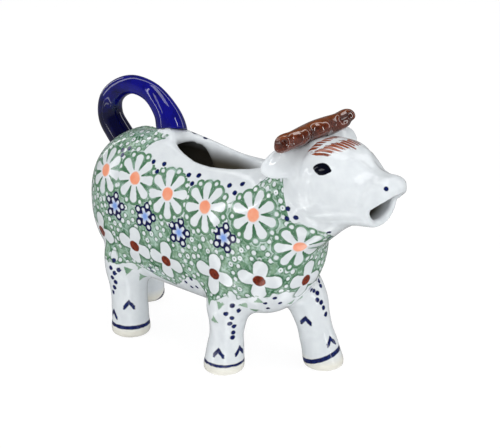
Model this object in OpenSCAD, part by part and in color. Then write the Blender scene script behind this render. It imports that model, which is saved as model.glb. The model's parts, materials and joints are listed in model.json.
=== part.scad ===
// Cow creamer: a hollow stoneware cow that is filled through its back and pours from its mouth.
// X runs along the cow and is positive at the nose, Y is positive on its left side, Z is up.
// The origin is on the table, under the middle of the whole piece. All sizes are in mm.

/* [Overall] */
// Length from the back of the tail loop to the tip of the nose
overall_length = 176.8; // [100:1:400]
// Height of the back line of the body above the table
back_height = 96; // [50:0.5:200]
// Height of the underside of the belly above the table
belly_height = 26; // [10:0.5:60]
// Half of the width of the body at its widest
body_half_width = 26; // [12:0.5:60]
// Thickness of the fired clay
wall = 3.4; // [2:0.1:8]
// How far the rump stays in front of the back of the tail loop
rump_setback = 2.6; // [0:0.1:20]

/* [Body] */
// Squareness of the body section, where 2 is an ellipse
body_squareness = 2.25; // [2:0.05:4]
// Stations of the body from the rump to the chest: along X as a share of the way from the rump to the back
// of the head, up Z and half height as shares of the body height, lean in degrees, share of the half width
body_station_shares = [
    [0.0000, 0.5714, 0, 0.0000, 0.000],
    [0.0131, 0.5657, 0, 0.1657, 0.358],
    [0.0665, 0.5329, 0, 0.3486, 0.692],
    [0.1690, 0.5286, 0, 0.4714, 0.915],
    [0.3135, 0.5343, 0, 0.5271, 1.000],
    [0.4886, 0.5214, 0, 0.5214, 1.000],
    [0.6699, 0.5036, 0, 0.5036, 1.000],
    [0.8205, 0.5029, 5, 0.5000, 1.000],
    [0.9326, 0.5357, 13, 0.4800, 0.962],
    [1.0184, 0.6386, 18.8, 0.3971, 0.885]
];
// Stations of the neck on into the head: along X from the back of the head, up Z from the line of the back
// and half height as shares of the head's half height, lean in degrees, share of the head's half width
neck_station_shares = [
    [0.3351, -0.9081, 21, 1.2108, 1.098],
    [0.6054, -0.4757, 27, 1.0162, 0.973],
    [0.9514, -0.0300, 34, 0.8100, 0.820]
];
// Gap between the foot of the tail and the filling opening behind it
opening_tail_gap = 0.9; // [0:0.1:30]
// Gap between the filling opening and the back of the head
opening_head_gap = 8.9; // [2:0.1:40]
// Width of the filling opening across the back
opening_width = 19; // [8:0.5:44]
// How far the lip round the opening slopes in from the back, across and down
opening_lip = 4.5; // [1:0.1:12]
// The wall of the opening from below up: height above the back and widening, both as shares of the lip
opening_shares = [
    [-8.00, 0.00], [-1.20, 0.00], [-0.75, 0.06], [-0.35, 0.28], [0.00, 0.75], [0.35, 1.50], [1.50, 4.00],
    [8.00, 4.00]
];

/* [Head] */
// Length of the head from its back to the tip of the nose
head_length = 60; // [30:0.5:120]
// Half of the height of the head at the brow
head_half_height = 18.5; // [8:0.1:40]
// Half of the width of the head at the brow
head_half_width = 18.4; // [8:0.1:40]
// Squareness of the head section, where 2 is an ellipse
head_squareness = 2.2; // [2:0.05:4]
// Stations of the head from its back to the tip of the nose: along X as a share of its length, up Z from the
// line of the back and half height as shares of its half height, share of its half width
head_station_shares = [
    [0.0000, 0.0000, 0.0000, 0.0000],
    [0.0267, 0.0000, 0.4649, 0.4457],
    [0.1117, 0.0000, 0.8000, 0.7826],
    [0.2733, 0.0027, 1.0027, 0.9783],
    [0.4567, 0.0703, 1.0000, 1.0000],
    [0.6250, 0.0541, 0.8649, 0.8859],
    [0.7517, -0.0595, 0.6811, 0.7174],
    [0.8517, -0.0649, 0.6054, 0.5924],
    [0.9317, 0.0811, 0.4595, 0.4891],
    [0.9833, 0.2162, 0.2270, 0.3152],
    [1.0000, 0.2703, 0.0000, 0.0000]
];
// Half width of the mouth hole
mouth_half_width = 6.6; // [3:0.1:20]
// Height of the mouth hole
mouth_height = 9.5; // [4:0.1:30]
// How far the lower lip stays behind the tip of the nose
lip_setback = 7.4; // [2:0.1:30]
// How far the roof of the mouth lies below the line of the back at the lower lip
mouth_roof_drop = 2.7; // [0:0.1:20]
// Slope of the underside of the nose in degrees
nose_slope = 40; // [0:1:70]

/* [Ears and horns] */
// Distance between the tips of the two ears
ear_span = 58; // [30:0.5:120]
// Width of an ear at its middle
ear_width = 11.2; // [5:0.1:30]
// Thickness of an ear at its middle
ear_thickness = 5; // [2:0.1:12]
// Depth of the dish in the front of an ear
ear_dish = 1.5; // [0:0.1:6]
// Turn of the flat of an ear from level towards facing forwards, in degrees
ear_turn = 55; // [0:1:90]
// Where an ear starts inside the head, as shares of the head's length along X and of its half height up Z
ear_root_share = [0.2604, 0.6746]; // [0:0.001:1]
// Where the tip of an ear is, as shares of the same sizes
ear_tip_share = [0.1602, 0.4567]; // [0:0.001:1]
// Rings of an ear: share of the way to its tip, shares of its thickness and of its width
ear_shares = [
    [0.30, 0.50, 0.55], [0.45, 0.85, 0.80], [0.60, 1.00, 1.00], [0.76, 0.90, 0.98], [0.90, 0.65, 0.72],
    [0.97, 0.40, 0.42], [1.00, 0.00, 0.00]
];
// Length of the horn bar across the head
horn_span = 48.4; // [20:0.1:120]
// Radius of the horn bar
horn_radius = 4.1; // [2:0.1:10]
// Height of the middle of the horn bar above the brow
horn_rise = 2.3; // [0:0.1:8]
// How far the horn bar sits in front of the back of the head
horn_setback = 14.6; // [5:0.1:40]
// How much higher the left end of the horn bar is, in degrees
horn_tilt = 2; // [-10:0.5:10]
// Depth of the dimple in each end of the horn bar
horn_dimple = 1.3; // [0:0.1:4]
// Rings of the horn bar up to its middle: share of the span, share of the radius
horn_shares = [
    [0.000, 0.50], [0.014, 0.82], [0.060, 1.02], [0.140, 0.98], [0.235, 0.90], [0.350, 1.06], [0.500, 0.90]
];

/* [Tail handle] */
// Radius of the tail tube where it leaves the rump
tail_root_radius = 6.4; // [3:0.1:12]
// Radius of the tail tube at the top of the loop
tail_top_radius = 4.6; // [2:0.1:12]
// Reach of the tail loop along X, from its back to the middle of its foot on the back
tail_reach = 48.6; // [25:0.1:90]
// Height of the middle of the tube at the top of the loop above the line of the back
tail_rise = 21.6; // [8:0.1:60]
// Centre line of the tail from inside the rump over the loop to inside the back, as shares of its reach along
// X and of its rise up Z, and its radius as a share of the way from the root to the top
tail_station_shares = [
    [0.4177, -0.5556, 0.00],
    [0.2510, -0.1991, 0.05],
    [0.1337, 0.1343, 0.10],
    [0.1420, 0.5324, 0.40],
    [0.2778, 0.8426, 0.85],
    [0.4774, 1.0000, 1.00],
    [0.7099, 0.9167, 0.90],
    [0.8807, 0.6204, 0.60],
    [0.9630, 0.2685, 0.25],
    [1.0000, -0.2685, 0.00]
];

/* [Legs] */
// Radius of a foot
foot_radius = 9; // [4:0.1:20]
// Radius of a front leg at its thinnest
front_ankle_radius = 7.3; // [3:0.1:18]
// Radius of a hind leg at its thinnest
rear_ankle_radius = 8.2; // [3:0.1:18]
// Radius of a leg where it enters the body
hip_radius = 10.6; // [4:0.1:24]
// Distance of the feet from the middle plane, and of the legs where they enter the body
leg_side = [17, 14]; // [6:0.5:50]
// How far behind the back of the head the right front foot and the leg above it stand
front_right_setback = [22.4, 18.4]; // [-40:0.1:80]
// How far behind the back of the head the left front foot and the leg above it stand
front_left_setback = [-9.1, 9.4]; // [-40:0.1:80]
// How far in front of the back of the tail loop the right hind foot and the leg above it stand
rear_right_forward = [34.4, 28.4]; // [5:0.1:90]
// How far in front of the back of the tail loop the left hind foot and the leg above it stand
rear_left_forward = [9.4, 22.4]; // [5:0.1:90]
// A leg from the table into the body: height as a share of the belly height, then the shares of the foot
// radius, of the ankle radius and of the hip radius that make up the radius there
leg_shares = [
    [0.000, 0.84, 0.00, 0.00], [0.035, 0.95, 0.00, 0.00], [0.110, 1.00, 0.00, 0.00],
    [0.280, 0.97, 0.00, 0.00], [0.480, 0.50, 0.50, 0.00], [0.680, 0.00, 1.00, 0.00],
    [0.930, 0.00, 0.72, 0.28], [1.250, 0.00, 0.00, 1.00], [1.620, 0.00, 0.00, 0.95],
    [1.900, 0.00, 0.00, 0.60]
];

/* [Smoothness] */
// Facets round the body
body_facets = 40; // [16:4:96]
// Facets round the smaller pieces
small_facets = 20; // [12:2:64]

/* [Hidden] */
half_length = overall_length / 2;
body_height = back_height - belly_height;
rump_x = rump_setback - half_length;
head_back_x = half_length - head_length;
opening_rear_x = tail_reach + tail_root_radius + opening_tail_gap - half_length;
opening_front_x = head_back_x - opening_head_gap;
// Shares of the body's rings that lie well behind the front legs and well before the hind legs
middle_shares = [0.36, 0.6];
// Share of the head's rings that ends before the eyes
crown_share = 0.62;
// Smallest ring of a hollow that is kept, as a share of the wall
hollow_share = 1.6;
// How soon a leg turns from its foot towards its hip, where 1 is straight away
leg_sweep = 1.3;

// One point of a smooth curve through rows b and c, at share t between them.
function curve(a, b, c, d, t) =
    (2 * b + (c - a) * t + (2 * a - 5 * b + 4 * c - d) * pow(t, 2) + (3 * b - a - 3 * c + d) * pow(t, 3)) / 2;

// Row k of a table, with the rows before the first and after the last one given.
function row(rows, before, after, k) =
    k < 0 ? before : k > len(rows) - 1 ? after : rows[k];

// The table again with n rows in place of each step.
function refine(rows, n, before, after) = [
    for (k = [0 : len(rows) - 2], j = [0 : n - 1])
        curve(row(rows, before, after, k - 1), rows[k], rows[k + 1], row(rows, before, after, k + 2), j / n),
    rows[len(rows) - 1]
];

function signed_power(v, p) = sign(v) * pow(abs(v), p);

// One ring of a form: centre, lean of the ring in degrees, half height, half width, squareness, facets.
function ring(x, y, z, lean, hh, hw, sq, n) = [
    for (k = [0 : n - 1])
        let (a = 360 * (k + 1 / 2) / n,
             v = hh * signed_power(sin(a), 2 / sq),
             w = hw * signed_power(cos(a), 2 / sq))
            [x - v * sin(lean), y - w, z + v * cos(lean)]
];

// Faces between rings of n points, with a point before the first ring and one after the last.
function skin_faces(rings, n) = concat(
    [for (k = [0 : rings - 2], j = [0 : n - 1]) let (i = (j + 1) % n) each [
        [k * n + j, k * n + i, (k + 1) * n + i],
        [k * n + j, (k + 1) * n + i, (k + 1) * n + j]
    ]],
    [for (j = [0 : n - 1]) [rings * n, (j + 1) % n, j]],
    [for (j = [0 : n - 1]) let (b = (rings - 1) * n) [rings * n + 1, b + j, b + (j + 1) % n]]
);

module skin(rings, first, last) {
    polyhedron(
        points = concat([for (r = rings) each r], [first, last]),
        faces = skin_faces(len(rings), len(rings[0])),
        convexity = 6
    );
}

function middle(ring) = [for (c = [0 : 2]) [for (p = ring) p[c]] * [for (p = ring) 1] / len(ring)];

// The body's rings as rows: X, Z, lean, half height, half width.
body_rows = concat(
    [for (r = body_station_shares)
        [rump_x + r[0] * (head_back_x - rump_x), belly_height + r[1] * body_height, r[2],
         r[3] * body_height, r[4] * body_half_width]],
    [for (r = neck_station_shares)
        [head_back_x + r[0] * head_half_height, back_height + r[1] * head_half_height, r[2],
         r[3] * head_half_height, r[4] * head_half_width]]
);
body_pole = body_rows[0];
body_last = len(body_rows) - 1;
body_beyond = 2 * body_rows[body_last] - body_rows[body_last - 1];

function mirrored(r) = [r[0], r[1], r[2], -r[3], -r[4]];

// Rings of a row table, grown inwards by an inset, and left out where nothing would remain.
function rings_of(rows, inset, sq, n) = [
    for (r = rows) if (min(r[3], r[4]) > hollow_share * inset && r[3] > 0)
        ring(r[0], 0, r[1], r[2], r[3] - inset, r[4] - inset, sq, n)
];

body_outer = rings_of(refine(body_rows, 3, mirrored(body_rows[1]), body_beyond),
    0, body_squareness, body_facets);
body_inner = rings_of(refine(body_rows, 2, mirrored(body_rows[1]), body_beyond),
    wall, body_squareness, round(body_facets * 2 / 3));

// The body's outer form, or the slice of it between two shares of its rings.
module body_form(from = 0, to = 1) {
    m = len(body_outer) - 1;
    rings = [for (k = [round(from * m) : round(to * m)]) body_outer[k]];
    skin(rings,
         from == 0 ? [body_pole[0], 0, body_pole[1]] : middle(rings[0]),
         middle(rings[len(rings) - 1]));
}

module body_hollow() {
    skin(body_inner, [body_pole[0] + wall, 0, body_pole[1]], middle(body_inner[len(body_inner) - 1]));
}

// The head's rings as rows, in the same order as the body's.
head_rows = [for (r = head_station_shares)
    [head_back_x + r[0] * head_length, back_height + r[1] * head_half_height, 0,
     r[2] * head_half_height, r[3] * head_half_width]];
head_last = len(head_rows) - 1;
head_outer = rings_of(refine(head_rows, 3, mirrored(head_rows[1]), mirrored(head_rows[head_last - 1])),
    0, head_squareness, round(body_facets * 3 / 4));
head_inner = rings_of(refine(head_rows, 2, mirrored(head_rows[1]), mirrored(head_rows[head_last - 1])),
    wall, head_squareness, round(body_facets / 2));

// The head's outer form, or the back of it up to a share of its rings.
module head_form(to = 1) {
    m = len(head_outer) - 1;
    rings = [for (k = [0 : round(to * m)]) head_outer[k]];
    skin(rings, [head_rows[0][0], 0, head_rows[0][1]],
         to == 1 ? [head_rows[head_last][0], 0, head_rows[head_last][1]] : middle(rings[len(rings) - 1]));
}

module head_hollow() {
    skin(head_inner, [head_rows[0][0] + wall, 0, head_rows[0][1]], middle(head_inner[len(head_inner) - 1]));
}

// The oval through the back, between the foot of the tail and the head.
module opening_form() {
    n = round(body_facets * 3 / 4);
    middle_x = (opening_front_x + opening_rear_x) / 2;
    half = (opening_front_x - opening_rear_x) / 2;
    rings = [for (r = opening_shares)
        [for (k = [0 : n - 1]) let (a = 360 * k / n)
            [middle_x + (half + r[1] * opening_lip) * cos(a),
             -(opening_width / 2 + r[1] * opening_lip) * signed_power(sin(a), 0.9),
             back_height + r[0] * opening_lip]]];
    skin(rings, middle(rings[0]), middle(rings[len(rings) - 1]));
}

// What is cut away under the nose and in front of the lower lip.
module lip_form() {
    lip = half_length - lip_setback;
    roof = back_height - mouth_roof_drop;
    rotate([90, 0, 0])
        linear_extrude(height = 3 * head_half_width, center = true)
            polygon([
                [lip, roof - 2 * head_half_height],
                [lip, roof],
                [lip + 2 * lip_setback, roof + 2 * lip_setback * tan(nose_slope)],
                [lip + 2 * lip_setback, roof - 2 * head_half_height]
            ]);
}

// The mouth hole, round below and straight above, from the hollow of the head out past the lip.
module mouth_form() {
    n = small_facets;
    translate([half_length - lip_setback * 3, 0, back_height - mouth_roof_drop])
        rotate([90, 0, 90])
            linear_extrude(height = lip_setback * 4)
                polygon(concat(
                    [[mouth_half_width, 0]],
                    [for (k = [1 : n - 1]) let (a = 180 * k / n)
                        [mouth_half_width * cos(a), -mouth_height * pow(sin(a), 0.8)]],
                    [[-mouth_half_width, 0]]
                ));
}

module barrel() {
    color("WhiteSmoke")
        difference() {
            body_form();
            body_hollow();
            opening_form();
            head_form(to = crown_share);
        }
}

module head() {
    color("White")
        difference() {
            head_form();
            head_hollow();
            body_hollow();
            lip_form();
            mouth_form();
        }
}

// A place on the head, from shares of its length along X and of its half height up Z.
function on_head(share) = [head_back_x + share[0] * head_length, back_height + share[1] * head_half_height];

ear_root = on_head(ear_root_share);
ear_tip = on_head(ear_tip_share);

// A point of an ear: share of the way to its tip, across its leaf and out of its front.
function ear_point(side, t, w, v) =
    let (p = ear_root + (ear_tip - ear_root) * t)
    [p[0] + w * cos(ear_turn) + v * sin(ear_turn), side * ear_span / 2 * t,
     p[1] - w * sin(ear_turn) + v * cos(ear_turn)];

// An ear as a dished leaf that starts inside the head, on the side given by its sign.
module ear(side) {
    rows = [for (r = ear_shares)
        [r[0], ear_thickness / 2 * r[1], ear_width / 2 * r[2]]];
    before_tip = rows[len(rows) - 2];
    fine = refine(rows, 3, 2 * rows[0] - rows[1], [before_tip[0], -before_tip[1], -before_tip[2]]);
    difference() {
        skin(
            [for (r = fine) if (r[1] > 0)
                [for (k = [0 : small_facets - 1])
                    let (a = side * 360 * (k + 1 / 2) / small_facets,
                         dish = ear_dish * pow(cos(a), 2) * r[2] / (ear_width / 2))
                    ear_point(side, r[0], r[2] * cos(a), r[1] * sin(a) + dish)]],
            ear_point(side, rows[0][0], 0, 0),
            ear_point(side, 1, 0, 0)
        );
        head_form(to = crown_share);
    }
}

module ear_left() {
    color("White") ear(1);
}

module ear_right() {
    color("White") ear(-1);
}

// The horns as one rolled bar with knobs and dimpled ends, seated on the crown of the head.
module horn_bar() {
    last = len(horn_shares) - 1;
    beyond = [1 - horn_shares[last - 1][0], horn_shares[last - 1][1]];
    half = refine(horn_shares, 2, 2 * horn_shares[0] - horn_shares[1], beyond);
    m = len(half) - 1;
    all = concat(half, [for (k = [1 : m]) [1 - half[m - k][0], half[m - k][1]]]);
    color("SaddleBrown")
        difference() {
            translate([head_back_x + horn_setback, 0, back_height + head_half_height + horn_rise])
                rotate([horn_tilt, 0, 0])
                    skin(
                        [for (r = all)
                            [for (k = [0 : small_facets - 1])
                                let (a = 360 * (k + 1 / 2) / small_facets, ring_radius = horn_radius * r[1])
                                [ring_radius * cos(a), horn_span * (r[0] - 1 / 2), ring_radius * sin(a)]]],
                        [0, horn_dimple - horn_span / 2, 0],
                        [0, horn_span / 2 - horn_dimple, 0]
                    );
            head_form(to = crown_share);
        }
}

module tail_handle() {
    rows = [for (r = tail_station_shares)
        [r[0] * tail_reach - half_length, back_height + r[1] * tail_rise,
         tail_root_radius + (tail_top_radius - tail_root_radius) * r[2]]];
    last = len(rows) - 1;
    fine = refine(rows, 3, 2 * rows[0] - rows[1], 2 * rows[last] - rows[last - 1]);
    m = len(fine) - 1;
    color("Navy")
        difference() {
            skin(
                [for (k = [0 : m])
                    let (p = fine[max(k - 1, 0)], q = fine[min(k + 1, m)],
                         d = [q[0] - p[0], q[1] - p[1]], g = d / norm(d), r = fine[k][2])
                    [for (j = [0 : small_facets - 1]) let (a = 360 * (j + 1 / 2) / small_facets)
                        [fine[k][0] + g[1] * r * cos(a), -r * sin(a), fine[k][1] - g[0] * r * cos(a)]]],
                [fine[0][0], 0, fine[0][1]],
                [fine[m][0], 0, fine[m][1]]
            );
            body_form(to = middle_shares[1]);
        }
}

// A leg from its foot into the body, with the places of both along X, cut to the body between two shares.
module leg(x, side, ankle, from, to) {
    last = len(leg_shares) - 1;
    top = leg_shares[last][0];
    fine = refine(leg_shares, 2, leg_shares[0], 2 * leg_shares[last] - leg_shares[last - 1]);
    m = len(fine) - 1;
    n = small_facets;
    function along(k) = x[0] + (x[1] - x[0]) * pow(max(fine[k][0] / top, 0), leg_sweep);
    function across(k) = side * (leg_side[0] + (leg_side[1] - leg_side[0]) * max(fine[k][0] / top, 0));
    difference() {
        skin(
            [for (k = [0 : m])
                let (r = foot_radius * fine[k][1] + ankle * fine[k][2] + hip_radius * fine[k][3])
                [for (j = [0 : n - 1]) let (a = 360 * (j + 1 / 2) / n)
                    [along(k) + r * cos(a), across(k) - r * sin(a), fine[k][0] * belly_height]]],
            [along(0), across(0), 0],
            [along(m), across(m), fine[m][0] * belly_height]
        );
        body_form(from, to);
    }
}

function behind_head(setback) = [head_back_x - setback[0], head_back_x - setback[1]];
function before_tail(forward) = [forward[0] - half_length, forward[1] - half_length];

module leg_front_left() {
    color("WhiteSmoke") leg(behind_head(front_left_setback), 1, front_ankle_radius, middle_shares[0], 1);
}

module leg_front_right() {
    color("WhiteSmoke") leg(behind_head(front_right_setback), -1, front_ankle_radius, middle_shares[0], 1);
}

module leg_rear_left() {
    color("WhiteSmoke") leg(before_tail(rear_left_forward), 1, rear_ankle_radius, 0, middle_shares[1]);
}

module leg_rear_right() {
    color("WhiteSmoke") leg(before_tail(rear_right_forward), -1, rear_ankle_radius, 0, middle_shares[1]);
}

barrel();
head();
ear_left();
ear_right();
horn_bar();
tail_handle();
leg_front_left();
leg_front_right();
leg_rear_left();
leg_rear_right();
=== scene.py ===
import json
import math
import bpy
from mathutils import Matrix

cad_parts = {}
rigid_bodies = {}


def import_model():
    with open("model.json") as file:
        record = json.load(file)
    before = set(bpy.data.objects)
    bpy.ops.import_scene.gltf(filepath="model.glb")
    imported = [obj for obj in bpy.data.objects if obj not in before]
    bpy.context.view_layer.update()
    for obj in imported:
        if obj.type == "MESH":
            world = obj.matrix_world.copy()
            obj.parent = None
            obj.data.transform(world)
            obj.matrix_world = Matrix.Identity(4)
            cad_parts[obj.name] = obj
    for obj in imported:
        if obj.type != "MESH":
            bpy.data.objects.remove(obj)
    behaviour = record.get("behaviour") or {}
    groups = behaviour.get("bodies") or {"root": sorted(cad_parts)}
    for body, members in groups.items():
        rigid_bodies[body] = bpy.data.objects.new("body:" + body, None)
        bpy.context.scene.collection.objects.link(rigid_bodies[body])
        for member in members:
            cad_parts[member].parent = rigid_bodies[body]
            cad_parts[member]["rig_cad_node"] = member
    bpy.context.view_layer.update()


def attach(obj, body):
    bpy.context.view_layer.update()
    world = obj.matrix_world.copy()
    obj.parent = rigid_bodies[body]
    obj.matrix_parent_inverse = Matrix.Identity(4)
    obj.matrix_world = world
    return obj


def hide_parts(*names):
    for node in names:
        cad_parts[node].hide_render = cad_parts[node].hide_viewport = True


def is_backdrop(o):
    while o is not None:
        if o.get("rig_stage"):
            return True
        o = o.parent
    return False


bl_info = {
    "name": "Cow creamer",
    "version": (1, 0, 0),
    "blender": (4, 5, 0),
    "location": "View3D > Sidebar > Creamer",
    "description": "A glazed cow creamer with stamped flowers, dressed around its packed frame",
    "category": "Object",
}

import bmesh
import bpy
import numpy as np
from bpy.props import FloatProperty, FloatVectorProperty, IntProperty, PointerProperty
from mathutils import Matrix, Vector
from mathutils.bvhtree import BVHTree
from mathutils.kdtree import KDTree

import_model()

MM = 0.001

# ---------------------------------------------------------------------------
# Tables of the forms, in millimetres
# ---------------------------------------------------------------------------

# Rings of the trunk: X, Z, lean in degrees, half height, half width
TRUNK = [
    (-85.8, 66, 0, 0, 0), (-84.3, 65.6, 0, 11.6, 9.3), (-78.2, 63.3, 0, 24.4, 18), (-66.5, 63, 0, 33, 23.8),
    (-50, 63.4, 0, 36.9, 26), (-30, 62.5, 0, 36.5, 26), (-9.3, 61.25, 0, 35.25, 26), (7.9, 61.2, 5, 35, 26),
    (20.7, 63.5, 13, 33.6, 25), (30.5, 70.7, 18.8, 27.8, 23), (34.6, 79.2, 21, 22.4, 20.2),
    (39.6, 87.2, 27, 18.8, 17.9), (46, 95.45, 34, 15, 15.1),
]
TRUNK_SQUARENESS = 2.25
# Rings of the head: X, Z, lean, half height, half width
HEAD = [
    (28.4, 96, 0, 0, 0), (30, 96, 0, 8.6, 8.2), (35.1, 96, 0, 14.8, 14.4), (44.8, 96.05, 0, 18.55, 18),
    (55.8, 97.3, 0, 18.5, 18.4), (65.9, 97, 0, 16, 16.3), (73.5, 94.9, 0, 12.6, 13.2), (79.5, 94.8, 0, 11.2, 10.9),
    (84.3, 97.5, 0, 8.5, 9), (87.4, 100, 0, 4.2, 5.8), (88.4, 101, 0, 0, 0),
]
HEAD_SQUARENESS = 2.2
# The tail loop's centre line: X, Z and radius
TAIL = [
    (-68.1, 84, 6.4), (-76.2, 91.7, 6.31), (-81.9, 98.9, 6.1), (-81.5, 107.5, 5.6), (-74.9, 114.2, 4.8),
    (-65.2, 117.6, 4.45), (-53.9, 115.8, 4.78), (-45.6, 109.4, 5.7), (-41.6, 101.8, 7), (-39.8, 90.2, 7.4),
]
# The seat under the foot of the tail, upwards: X, Z and radius, and the slope of its top along X and Y
TAIL_SEAT = [(-39.8, 90.2, 7.6), (-40.4, 96, 7.35), (-41.4, 101, 7.1), (-43.4, 106, 6.3)]
SEAT_TOP = (-41.2, 100.8, .257, -.29)
# The throat under the jaw: X, Z, half height, half width
THROAT = [(36, 76, 0, 0), (38, 76, 6, 9), (46, 75, 10, 13), (52, 77.5, 8, 12), (58, 81, 6, 10), (64, 84, 5, 8),
          (69, 87, 3, 5), (71, 88, 0, 0)]
# A leg upwards: share of the belly height, then how much of the foot, ankle and hip radius
LEG = [
    (0, .93, 0, 0), (.035, 1.01, 0, 0), (.11, 1.04, 0, 0), (.28, .98, 0, 0), (.48, .5, .5, 0), (.68, 0, 1, 0),
    (.93, 0, .72, .28), (1.25, 0, 0, 1), (1.62, 0, 0, .95), (1.9, 0, 0, .6),
]
# Legs: X of the foot and of the hip, side, ankle radius
LEGS = {
    "leg_front_left": (37.5, 19, 1, 8.2),
    "leg_front_right": (6, 9.6, -1, 7.8),
    "leg_rear_left": (-79, -66, 1, 8.2),
    "leg_rear_right": (-54.8, -60.5, -1, 8.7),
}
# An ear: share of the way to the tip, shares of thickness and width
EAR = [(.3, .5, 1.12), (.45, .85, 1.26), (.6, 1, 1.27), (.76, .9, 1.08), (.9, .65, .76), (.97, .4, .42), (1, 0, 0)]
# Tips of the ears: X and Z
EAR_TIPS = {1: (43, 108.6), -1: (38, 104.45)}
# The horn bar up to its middle: share of the span, share of the radius
HORN = [(0, .5), (.014, .78), (.06, .95), (.14, .99), (.235, 1.04), (.35, 1.15), (.5, 1.22)]
# The wall inside the opening: X and the height of its lower edge
COLLAR = np.array([(-40, 97), (-32, 95), (-29.5, 92), (-27, 82), (20, 79)])
# Soft forms pressed into the skin of the head: two ends, radius and push outwards, on both sides
HEAD_TOUCHES = [
    ((57.5, -15.6, 107.2), (62, -15, 106.9), 3, 1), ((55.7, -16.1, 110.5), (63, -13, 110.5), 1.8, -.45),
    ((66, -10, 109.5), (74, -6.5, 104.5), 3, -.6), ((58, -12, 112), (66, -9, 110.5), 3, .5),
    ((66, -6, 111.8), (73, -3, 108.6), 1.6, .45), ((73, -3, 108.6), (84, -2.4, 105.8), 1.6, .35),
    ((74.6, -9.7, 102.6), (74.9, -12.4, 94.5), 1.1, 1.1), ((76.9, -8.9, 102), (76.5, -11.8, 95), 1.1, -1.2),
    ((79.8, -8.6, 101), (78.3, -11.5, 95.4), 1.1, 1), ((84.5, -6.3, 102.5), (82, -7.5, 103.5), 2.4, .5),
    ((47.4, -11.8, 111.8), (48.2, -17.2, 103), 2, -1), ((50.4, -13.6, 110), (51, -17.6, 103.4), 2.2, .4),
    ((40.6, -19, 109.4), (39, -27, 105), 1.2, -.8), ((39.4, -20, 110.8), (37.6, -28, 106.2), 1.2, .4),
    ((44, -15, 100), (43, -14, 92), 3, .5), ((57, -18, 101), (57, -18, 94), 2.6, .5),
    ((70, -9, 86), (76, -8, 85), 3, -.4),
]
# Knobs and pinches of the horn bar
HORN_TOUCHES = [
    ((46.8, -12.8, 118), (46.8, -10, 118.4), 3.4, 1.9), ((46.8, .4, 118.5), (46.8, 3, 118.8), 3.2, 1.5),
    ((47.5, -17.8, 117), (47.5, -17.4, 117), 2.2, -1.2), ((47.8, -5.6, 118), (47.8, -5.2, 118), 2.6, -1.3),
    ((47.5, 9, 118.2), (47.5, 11, 118.5), 2.6, -1), ((45.2, -22, 118.4), (45.6, -21.4, 117.4), 1.2, -2.2),
    ((46.6, 16, 119.8), (46.2, 20, 120), 1.9, -1.8), ((45, -20, 120.6), (44, -23, 119.6), 1, .6),
    ((45, 14, 121), (44, 21, 121.4), 1.3, .4), ((45, 25, 115.6), (46, 22, 116.4), 2.2, -1.4),
    ((40.5, -23, 112.8), (43, -24, 112.6), 2, 1.2), ((44, -18, 113), (46, -14, 113), 2.4, -.6),
    ((41, -14, 121.4), (41, 16, 122.4), 3, -.6), ((46.4, -8, 113.8), (46.4, 8, 114.4), 2.8, -1),
]
# Rings made of one row of a table, for the skin and for the hollow
SKIN_STEPS, HOLLOW_STEPS = 10, 6
# Signs that carry a ring past the closed end of a table
POLE_SIGNS = (1, 1, 1, -1, -1)
# Points round a leg, the tail, its seat and the collar
POINTS_ROUND = 64
# How late a leg sweeps from its foot to its hip
LEG_SWEEP = 1.3
# Root of the ears on the middle plane, X and Z, and how far they are turned
EAR_ROOT, EAR_TURN = (44.02, 108.48), math.radians(55)
# Rings of the filling opening: the lowest and the highest, below the back, and how many
OPENING_DEPTHS = (30, -12, 22)
# Depth from which the opening's front falls, and the most that it falls by, as a share of half the opening
OPENING_EDGE, OPENING_FALL = 3, .6
# How far the collar passes the opening: backwards, along, across and above the back
COLLAR_BACK, COLLAR_ALONG, COLLAR_ACROSS, COLLAR_ABOVE = 1, 5, 3.6, 6
# The mouth: X of its two ends and of the lower lip, and how far its roof lies below the back
MOUTH_BACK, MOUTH_FRONT, LIP, ROOF_DROP = 66.2, 95.8, 81.0, 2.7
# What is cut away before the lip: how far ahead, behind, down and to each side, and its slope under the nose
LIP_AHEAD, LIP_BEHIND, LIP_DOWN, LIP_SIDE, NOSE_SLOPE = 14.8, 1.5, 37, 27, math.radians(40)
# The block that trims the seat of the tail: its ends along X, half width, top and bottom
BLOCK_BACK, BLOCK_FRONT, BLOCK_SIDE, BLOCK_TOP, BLOCK_BOTTOM = -62, -20, 30, 140, 60
# How far the tail goes down into its seat
TAIL_SINK = .1
# Where the horn bar sits on the crown, and how far it is tilted
HORN_SEAT, HORN_TILT = (43, 1.4, 116.95), math.radians(2.4)
# How far from a form its distance still counts
FAR = 9 * MM
# Widths of the rubbed joints: round an ear, round the seat of the tail, and all others
EAR_SEAM, SEAT_SEAM, SEAM = 1.6 * MM, 3.5 * MM, 7 * MM
# Width of the rounded edge of the mouth
MOUTH_EDGE = 3 * MM
# Rounds of rubbing
SEAM_ROUNDS, THROAT_ROUNDS, RIM_ROUNDS, OPENING_ROUNDS, MOUTH_ROUNDS = 27, 36, 7, 42, 24
# Mesh that the tail and the horn bar are cut to, and how deep under the skin of the body it lies
SEAT_MESH, SEAT_DEPTH = "body_seat", .6 * MM


# ---------------------------------------------------------------------------
# Sizes and colours
# ---------------------------------------------------------------------------


def length(name, description, millimetres):
    return FloatProperty(name=name, description=description, default=millimetres * MM, unit="LENGTH", precision=4)


def colour(name, description, red, green, blue):
    return FloatVectorProperty(
        name=name, description=description, subtype="COLOR", size=3, min=0, max=1,
        default=tuple(((c / 255 + .055) / 1.055) ** 2.4 if c > 10 else c / 255 / 12.92 for c in (red, green, blue)),
    )


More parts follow.
